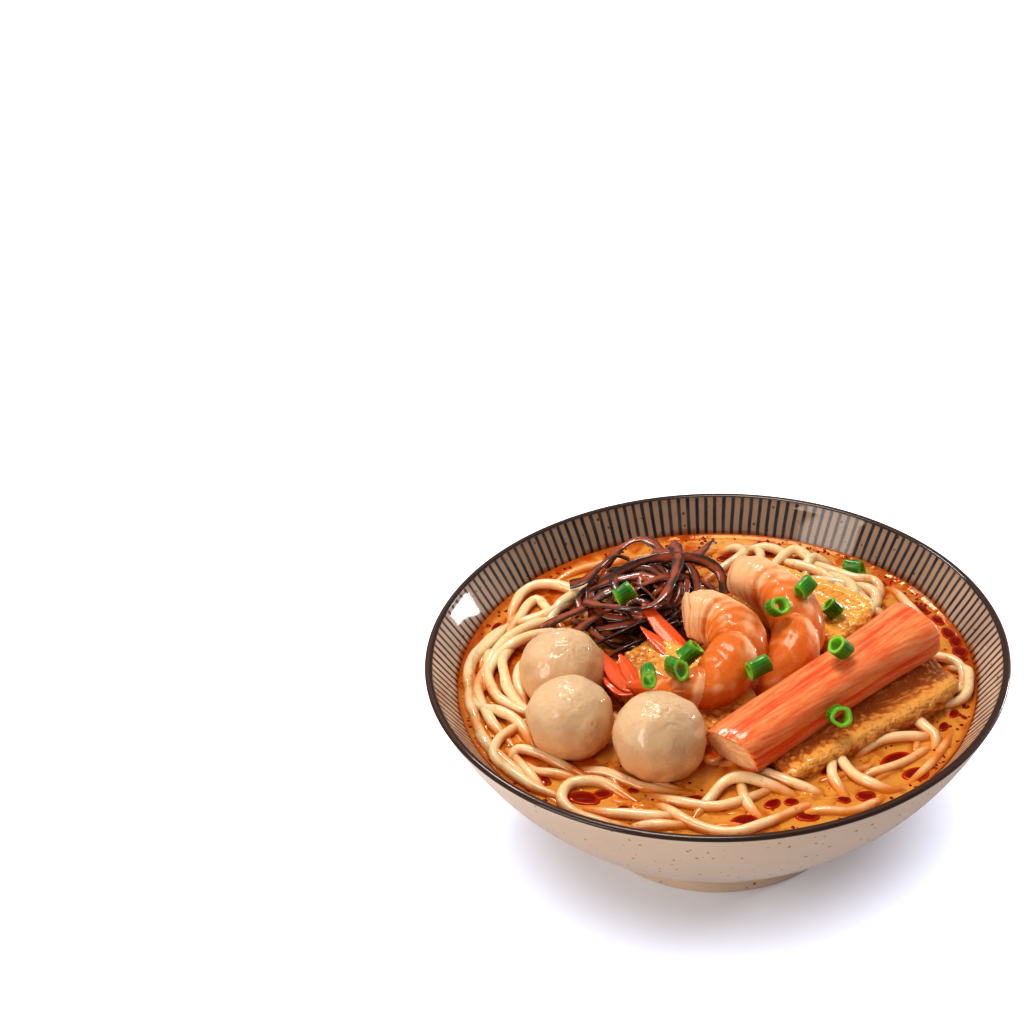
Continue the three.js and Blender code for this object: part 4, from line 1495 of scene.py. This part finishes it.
def wood_ear_strip(toppings):
    """Wood ear fungus, soaked, shredded and simmered.

    Gives a rubbery, very shiny dark brown, with painted light coming through on the flat faces of a
    strip, lighter and redder there.
    """
    material, tree = new_material("wood ear, soaked and shredded")
    place = add(tree, "TexCoord").outputs["Object"]
    across = add(tree, "Attribute", {"attribute_name": "across"}).outputs["Fac"]
    blotch = add(tree, "TexNoise", inputs={"Vector": place, "Scale": per(8), "Detail": 4.0})
    # The two flat faces are a quarter and three quarters of the way round the strip.
    face = add(tree, "Math", {"operation": "PINGPONG"}, {0: across, 1: 0.25})
    # Painted light: the flat faces are lightened and reddened as if lit through the strip, and the edges
    # are left dark.
    thin = add(tree, "Math", MULTIPLY_ADD, {0: face, 1: 2.4, 2: blotch})
    thin = add(tree, "MapRange", SMOOTH, {"Value": thin, "From Min": 0.7, "From Max": 1.12})
    colour = add(
        tree, "Mix", RGBA,
        {"Factor": thin, "A": rgba(toppings.wood_ear), "B": rgba(toppings.wood_ear_light)},
    )
    fine = add(tree, "TexNoise", inputs={"Vector": place, "Scale": per(1.5), "Detail": 3.0})
    shader = add(
        tree, "BsdfPrincipled",
        inputs={
            "Base Color": colour, "Roughness": 0.45, "Specular IOR Level": 0.3,
            "Subsurface Weight": 0.15, "Subsurface Radius": (1.0, 0.35, 0.15),
            "Subsurface Scale": 0.002, "Coat Weight": 0.7, "Coat Roughness": 0.04,
        },
    )
    finish_material(tree, shader, fine, depth=0.3)
    return material


# Strips that lie on top of the tangle: x, y and z from the table.
TOP_STRIPS = (
    ((-46, 33, 67), (-42, 28, 69), (-36, 24, 71), (-29, 21, 72), (-23, 21, 73), (-18, 25, 74.5),
     (-15, 33, 75.5), (-13, 43, 76), (-13, 52, 75.5), (-15, 59, 74)),
    ((-44, 33, 60), (-42, 38, 64), (-40, 41, 68), (-35, 44, 71), (-29, 46, 73.5), (-22, 48, 75),
     (-15, 49, 75), (-8, 49, 74.5), (-2, 48, 73), (2.5, 45, 70), (4, 40, 65)),
    ((-20, 38, 68), (-13, 46, 71), (-7, 53, 72), (-1, 64, 71)),
    ((-34, 26, 68), (-28, 31, 73), (-21, 36, 74), (-14, 41, 72), (-6, 44, 68)),
    ((-52, 48, 64), (-46, 47, 67), (-41, 51, 70), (-36, 56, 71), (-31, 57, 69)),
    ((-40, 56, 66), (-34, 61, 71), (-27, 64, 73), (-21, 61, 72), (-17, 55, 69)),
    ((-52, 20, 60), (-45, 24, 64), (-38, 27, 67), (-30, 30, 69)),
    ((-46, 14, 59), (-40, 14, 63), (-33, 15, 66), (-25, 19, 68), (-18, 22, 66)),
    ((-40, 8, 59), (-33, 9, 63), (-26, 12, 65), (-19, 18, 64)),
    ((-62, 27, 60), (-54, 29, 63), (-46, 31, 66), (-38, 36, 69), (-30, 40, 70)),
    ((-8, 30, 62), (-6, 38, 68), (-8, 46, 72), (-14, 54, 73), (-22, 58, 71)),
    ((2, 36, 62), (-2, 42, 67), (-10, 44, 70), (-20, 42, 71), (-30, 36, 70), (-38, 30, 66)),
    ((-10, 22, 62), (-12, 30, 68), (-18, 36, 72), (-26, 40, 73), (-36, 40, 71), (-44, 42, 66)),
)


# A dark heap under the strips that stands in for hidden strips and for painted shade: its middle, and
# radius and height of each ring from the bottom up.
WOOD_EAR_MIDDLE = (-25, 38)
WOOD_EAR_HEAP_AND_SHADE = ((0, 53), (10, 53), (15, 55), (16, 58), (14, 61), (11, 63.5), (6, 65), (0, 65.5))
TANGLED_STRIPS = 78
# Half widths of the strips in the tangle and of those on top.
TANGLED_HALF = 1.45
TOP_HALF = 2.0


def tangled_strips(seed):
    """Strips wound over and through a low heap."""
    rng = random.Random(seed)
    home_x, home_y = WOOD_EAR_MIDDLE
    strips = []
    for _ in range(TANGLED_STRIPS):
        middle = Vector((home_x + rng.uniform(-7, 7), home_y + rng.uniform(-8, 8), 0))
        radius, turn = rng.uniform(5, 23), rng.uniform(0, 2 * math.pi)
        sweep = rng.choice((-1, 1)) * rng.uniform(1.2, 3.0)
        squash, tilt = rng.uniform(0.55, 1), rng.uniform(0, math.pi)
        rise = rng.uniform(-3, 1.5)
        strip = []
        for k in range(7):
            a = turn + sweep * k / 6
            local = Vector((radius * math.cos(a), radius * squash * math.sin(a), 0))
            local.rotate(Euler((0, 0, tilt)))
            spot = middle + local
            away = math.hypot((spot.x - home_x) / 29, (spot.y - home_y) / 28)
            dome = 59 + 13 * max(0, 1 - away**2)
            strip.append((spot.x, spot.y, dome + rise + rng.uniform(-1.6, 1.6)))
        strips.append(tuple(strip))
    return strips


def strip_tree():
    """Geometry nodes that turn curves into flat, twisting strips."""
    tree, given, even = open_sweep("flat strips", ("Half width", "Step", "Twist"))
    lean = add(tree, "TexNoise", SPATIAL, {"Scale": per(26), "Detail": 0.0})
    lean = add(
        tree, "MapRange",
        inputs={"Value": lean, "From Min": 0.25, "From Max": 0.75, "To Min": -1.0, "To Max": 1.0},
    )
    twist = add(tree, "Math", MULTIPLY, {0: lean, 1: given["Twist"]})
    tilted = add(tree, "GeometryNodeSetCurveTilt", inputs={"Curve": even, "Tilt": twist})
    ragged = add(tree, "TexNoise", SPATIAL, {"Scale": per(7), "Detail": 2.0})
    ragged = add(
        tree, "MapRange",
        inputs={"Value": ragged, "From Min": 0.3, "From Max": 0.7, "To Min": 0.75, "To Max": 1.2},
    )
    girth = add(tree, "Math", MULTIPLY, {0: ragged, 1: given["Half width"]})
    ring = add(tree, "GeometryNodeCurvePrimitiveCircle", inputs={"Resolution": 16, "Radius": 1.0})
    way = add(tree, "GeometryNodeSplineParameter").outputs["Factor"]
    marked = add(
        tree, "GeometryNodeStoreNamedAttribute", {"data_type": "FLOAT", "domain": "POINT"},
        {"Geometry": ring, "Name": "across", "Value": way},
    )
    flat = add(tree, "GeometryNodeTransform", inputs={"Geometry": marked, "Scale": (1.0, 0.36, 1.0)})
    return close_sweep(tree, given, tilted, flat, girth)


class LAKSA_OT_wood_ear(bpy.types.Operator):
    """Tangles the wood ear: flat dark strips wound into a heap"""

    bl_idname = "laksa.wood_ear"
    bl_label = "Wood ear"

    def execute(self, context):
        material = wood_ear_strip(context.scene.laksa_toppings)
        tree = strip_tree()
        values = {"Half width": TANGLED_HALF * MM, "Step": 1.2 * MM, "Twist": 1.0}
        tangle = swept_piece("wood_ear_tangle", tangled_strips(5), tree, material, values)
        settle(tangle, "wood_ear", "wood_ear")
        values["Half width"] = TOP_HALF * MM
        top = swept_piece("wood_ear_top_strips", TOP_STRIPS, tree, material, values)
        settle(top, "wood_ear")
        core = lathed("wood_ear_heap_and_shade", WOOD_EAR_HEAP_AND_SHADE, 72, 2.5, material, WOOD_EAR_MIDDLE, 0.95)
        settle(core, "wood_ear")
        return {"FINISHED"}


# ---------- spring onion ----------


def onion_leaf(toppings):
    """Spring onion leaf, sliced raw.

    Gives a fresh green tube with fine veins outside and a paler, wet inside and cut edge.
    """
    material, tree = new_material("spring onion leaf, sliced")
    place = add(tree, "TexCoord").outputs["Object"]
    inside = add(tree, "Attribute", {"attribute_name": "inside"}).outputs["Fac"]
    vein_at = add(tree, "Attribute", {"attribute_name": "vein"}).outputs["Fac"]
    tone = add(tree, "TexNoise", inputs={"Vector": place, "Scale": per(5), "Detail": 2.0})
    tone = add(tree, "Math", MULTIPLY_ADD, {0: vein_at, 1: 0.35, 2: tone})
    tone = add(tree, "MapRange", inputs={"Value": tone, "From Min": 0.35, "From Max": 1.0})
    skin = add(
        tree, "Mix", RGBA,
        {"Factor": tone, "A": shaded(toppings.leaf, 0.3), "B": shaded(toppings.leaf, 2.4, 1.4, 1.2)},
    )
    colour = add(tree, "Mix", RGBA, {"Factor": inside, "A": skin, "B": rgba(toppings.leaf_cut)})
    shader = add(
        tree, "BsdfPrincipled",
        inputs={
            "Base Color": colour, "Roughness": 0.32, "IOR": 1.42, "Subsurface Weight": 0.2,
            "Subsurface Radius": (0.4, 1.0, 0.2), "Subsurface Scale": 0.0012, "Coat Weight": 0.4,
            "Coat Roughness": 0.15,
        },
    )
    finish_material(tree, shader, vein_at, depth=0.05)
    return material


# Slices of leaf by node: turns in degrees, length, and how round the tube has stayed.
ONION_SLICES = {
    1: ((0, 70, 25), 7, 0.7), 2: ((0, 55, 20), 7, 0.8), 3: ((0, 70, -60), 8, 0.75),
    4: ((0, 90, 95), 6, 0.7), 5: ((42, 28, 20), 5, 0.85), 6: ((0, 75, 50), 7, 0.7),
    7: ((20, -38, -35), 5, 0.8), 8: ((30, -30, -15), 6, 0.85), 9: ((0, 80, 30), 8, 0.7),
    10: ((62, 24, 10), 5, 0.95), 11: ((0, 85, -20), 7, 0.75),
}
# Small scraps with no solid of their own: middle, turns, length and roundness.
ONION_SCRAPS = (((54, 58, 58.5), (10, 70, 40), 3, 0.5), ((-3, 20, 66), (20, 60, 10), 3, 0.5))
LEAF_RADIUS = 3.55
LEAF_WALL = 1.3
LEAF_SIDES = 48
SCRAP_SCALE = 0.7


def onion_slice(middle, turns, length, roundness, number, scale=1.0):
    """A short cut tube of leaf: a wall with rounded cut edges, pressed a little flat."""
    sides = LEAF_SIDES
    place = placed(middle, turns)
    half = length / 2
    wall = LEAF_WALL * scale
    section = [
        (0, -half + 0.25, 0.3), (0, -half * 0.5, 0), (0, 0, 0), (0, half * 0.5, 0),
        (0, half - 0.25, 0.3), (0.18, half - 0.04, 0.8), (0.5, half, 1), (0.82, half - 0.04, 1),
        (1, half - 0.25, 1), (1, half * 0.5, 1), (1, 0, 1), (1, -half * 0.5, 1), (1, -half + 0.25, 1),
        (0.82, -half + 0.04, 1), (0.5, -half, 1), (0.18, -half + 0.04, 0.8),
    ]
    points, inside, veins = [], [], []
    for depth, at, pale in section:
        for angle in round_a_ring(sides):
            wave = 1 + 0.04 * math.sin(3 * angle + number) + 0.03 * math.sin(5 * angle + at)
            radius = (LEAF_RADIUS * scale - wall * depth) * wave
            flare = 1 + 0.05 * (at / half) ** 2
            x, y = radius * flare * math.cos(angle), radius * flare * roundness * math.sin(angle)
            slant = 0.16 * x * (at > 0)
            points.append(place @ Vector((x, y, at + slant)))
            inside.append(float(pale))
            veins.append(0.5 + 0.5 * math.sin(16 * angle + number))
    faces = []
    rings = len(section)
    for i in range(rings):
        for j in range(sides):
            k, n = (j + 1) % sides, (i + 1) % rings
            faces.append((i * sides + j, i * sides + k, n * sides + k, n * sides + j))
    return points, faces, {"inside": inside, "vein": veins}


class LAKSA_OT_spring_onion(bpy.types.Operator):
    """Slices the spring onion: short tubes of leaf scattered over the toppings"""

    bl_idname = "laksa.spring_onion"
    bl_label = "Spring onion"

    def execute(self, context):
        material = onion_leaf(context.scene.laksa_toppings)
        for number, (turns, length, roundness) in ONION_SLICES.items():
            node = f"spring_onion_{number}"
            low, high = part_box(node)
            points, faces, attributes = onion_slice(
                (low + high) / 2 / MM, turns, length, roundness, number,
            )
            piece = new_piece(node + "_slice", points, faces, material, attributes)
            settle(piece, "spring_onion", node)
        scraps = [onion_slice(*scrap, i, SCRAP_SCALE) for i, scrap in enumerate(ONION_SCRAPS)]
        points, faces, attributes = joined(scraps)
        piece = new_piece("spring_onion_scraps", points, faces, material, attributes)
        settle(piece, "spring_onion")
        return {"FINISHED"}


# ---------- stage ----------


def pale_floor():
    """Matt white sheet with a painted glow, seen only by the camera, that rises away from the bowl.

    Gives a clean pale ground; the painted glow leaves the shadow only close to the foot.
    """
    material, tree = new_material("matt white floor with a painted glow")
    place = add(tree, "TexCoord").outputs["Object"]
    tooth = add(tree, "TexNoise", inputs={"Vector": place, "Scale": per(1.5), "Detail": 2.0})
    middle = add(tree, "VectorMath", {"operation": "LENGTH"}, {"Vector": place})
    painted_floor_glow = add(
        tree, "MapRange", SMOOTH,
        {
            "Value": middle.outputs["Value"], "From Min": 0.05, "From Max": 0.112, "To Min": 0.0,
            "To Max": 1.0,
        },
    )
    # Painted light: the floor glows for the camera alone, more the farther it is from the bowl.
    seen = add(tree, "LightPath").outputs["Is Camera Ray"]
    painted_floor_glow = add(tree, "Math", MULTIPLY, {0: painted_floor_glow, 1: seen})
    shader = add(
        tree, "BsdfPrincipled",
        inputs={
            "Base Color": fixed("#eef1fb"), "Roughness": 0.9, "Emission Color": fixed("#dfe8ff"),
            "Emission Strength": painted_floor_glow,
        },
    )
    finish_material(tree, shader, tooth, depth=0.02)
    return material


# The floor's half width and the camera's place in metres, its lens in mm, its turns in degrees.
FLOOR_REACH = 3.0
CAMERA_PLACE = (0, -0.67825, 0.56556)
CAMERA_LENS = 85.5
CAMERA_TURNS = (57.17, 3.1, 3.63)


# Soft boxes: name, place and target in metres, size, power in watts and tint.
LIGHTS = (
    ("key", (-0.12, 0.3, 1.1), (0.02, 0, 0.05), 0.34, 6.4, "#fff4e6"),
    ("fill", (-0.9, -0.75, 0.6), (0, 0, 0.05), 0.6, 8, "#fffaf2"),
    ("window", (-0.3, 0.6, 0.85), (-0.03, 0, 0.06), 0.14, 2.2, "#ffffff"),
    ("side window", (0.92, 0.6, 0.22), (-0.09, 0.027, 0.064), 0.24, 5, "#ffffff"),
)


class LAKSA_OT_stage(bpy.types.Operator):
    """Sets the stage: a pale floor, soft studio light and the camera"""

    bl_idname = "laksa.stage"
    bl_label = "Stage"

    def execute(self, context):
        scene = context.scene
        corners = [(x * FLOOR_REACH, y * FLOOR_REACH, 0) for x, y in ((-1, -1), (1, -1), (1, 1), (-1, 1))]
        mesh = bpy.data.meshes.new("floor")
        mesh.from_pydata(corners, [], [(0, 1, 2, 3)])
        mesh.materials.append(pale_floor())
        new_object("floor", mesh)
        for light in LIGHTS:
            self.light(*light)
        self.surroundings(scene)
        data = bpy.data.cameras.new("camera")
        data.lens = CAMERA_LENS
        data.sensor_width = 36
        camera = new_object("camera", data)
        camera.location = CAMERA_PLACE
        camera.rotation_euler = [math.radians(a) for a in CAMERA_TURNS]
        scene.camera = camera
        scene.view_settings.view_transform = "Standard"
        scene.view_settings.look = "Medium High Contrast"
        return {"FINISHED"}

    @staticmethod
    def light(name, place, target, size, power, tint):
        """A square soft box aimed at a point."""
        data = bpy.data.lights.new(name, "AREA")
        data.shape = "SQUARE"
        data.size = size
        data.energy = power
        data.color = linear(tint)
        lamp = new_object(name, data)
        lamp.location = place
        lamp.rotation_euler = (Vector(target) - Vector(place)).to_track_quat("-Z", "Y").to_euler()

    @staticmethod
    def surroundings(scene):
        """An even white room."""
        world = bpy.data.worlds.new("studio")
        world.use_nodes = True
        back = world.node_tree.nodes["Background"]
        back.inputs["Color"].default_value = fixed("#ffffff")
        back.inputs["Strength"].default_value = 0.33
        scene.world = world


class LAKSA_PT_panel(bpy.types.Panel):
    """Lists the pieces of the soup and their settings"""

    bl_label = "Laksa"
    bl_space_type = "VIEW_3D"
    bl_region_type = "UI"
    bl_category = "Laksa"

    def draw(self, context):
        layout = self.layout
        for piece in PIECES:
            layout.operator(piece.bl_idname)
        for name in SETTINGS:
            box = layout.box()
            group = getattr(context.scene, name)
            for key in type(group).__annotations__:
                box.prop(group, key)


PIECES = (
    LAKSA_OT_bowl,
    LAKSA_OT_broth,
    LAKSA_OT_oil,
    LAKSA_OT_noodles,
    LAKSA_OT_fish_balls,
    LAKSA_OT_crab_stick,
    LAKSA_OT_prawns,
    LAKSA_OT_tofu,
    LAKSA_OT_wood_ear,
    LAKSA_OT_spring_onion,
    LAKSA_OT_stage,
)
SETTINGS = {
    "laksa_bowl": LaksaBowlSettings,
    "laksa_broth": LaksaBrothSettings,
    "laksa_noodles": LaksaNoodleSettings,
    "laksa_toppings": LaksaToppingSettings,
}


def register():
    for group in SETTINGS.values():
        bpy.utils.register_class(group)
    for name, group in SETTINGS.items():
        setattr(bpy.types.Scene, name, PointerProperty(type=group))
    for piece in (*PIECES, LAKSA_PT_panel):
        bpy.utils.register_class(piece)


def unregister():
    for piece in reversed((*PIECES, LAKSA_PT_panel)):
        bpy.utils.unregister_class(piece)
    for name in SETTINGS:
        delattr(bpy.types.Scene, name)
    for group in SETTINGS.values():
        bpy.utils.unregister_class(group)


def main():
    register()
    bpy.ops.laksa.bowl()
    bpy.ops.laksa.broth()
    bpy.ops.laksa.oil()
    bpy.ops.laksa.noodles()
    bpy.ops.laksa.fish_balls()
    bpy.ops.laksa.crab_stick()
    bpy.ops.laksa.prawns()
    bpy.ops.laksa.tofu()
    bpy.ops.laksa.wood_ear()
    bpy.ops.laksa.spring_onion()
    bpy.ops.laksa.stage()


if __name__ == "__main__":
    main()
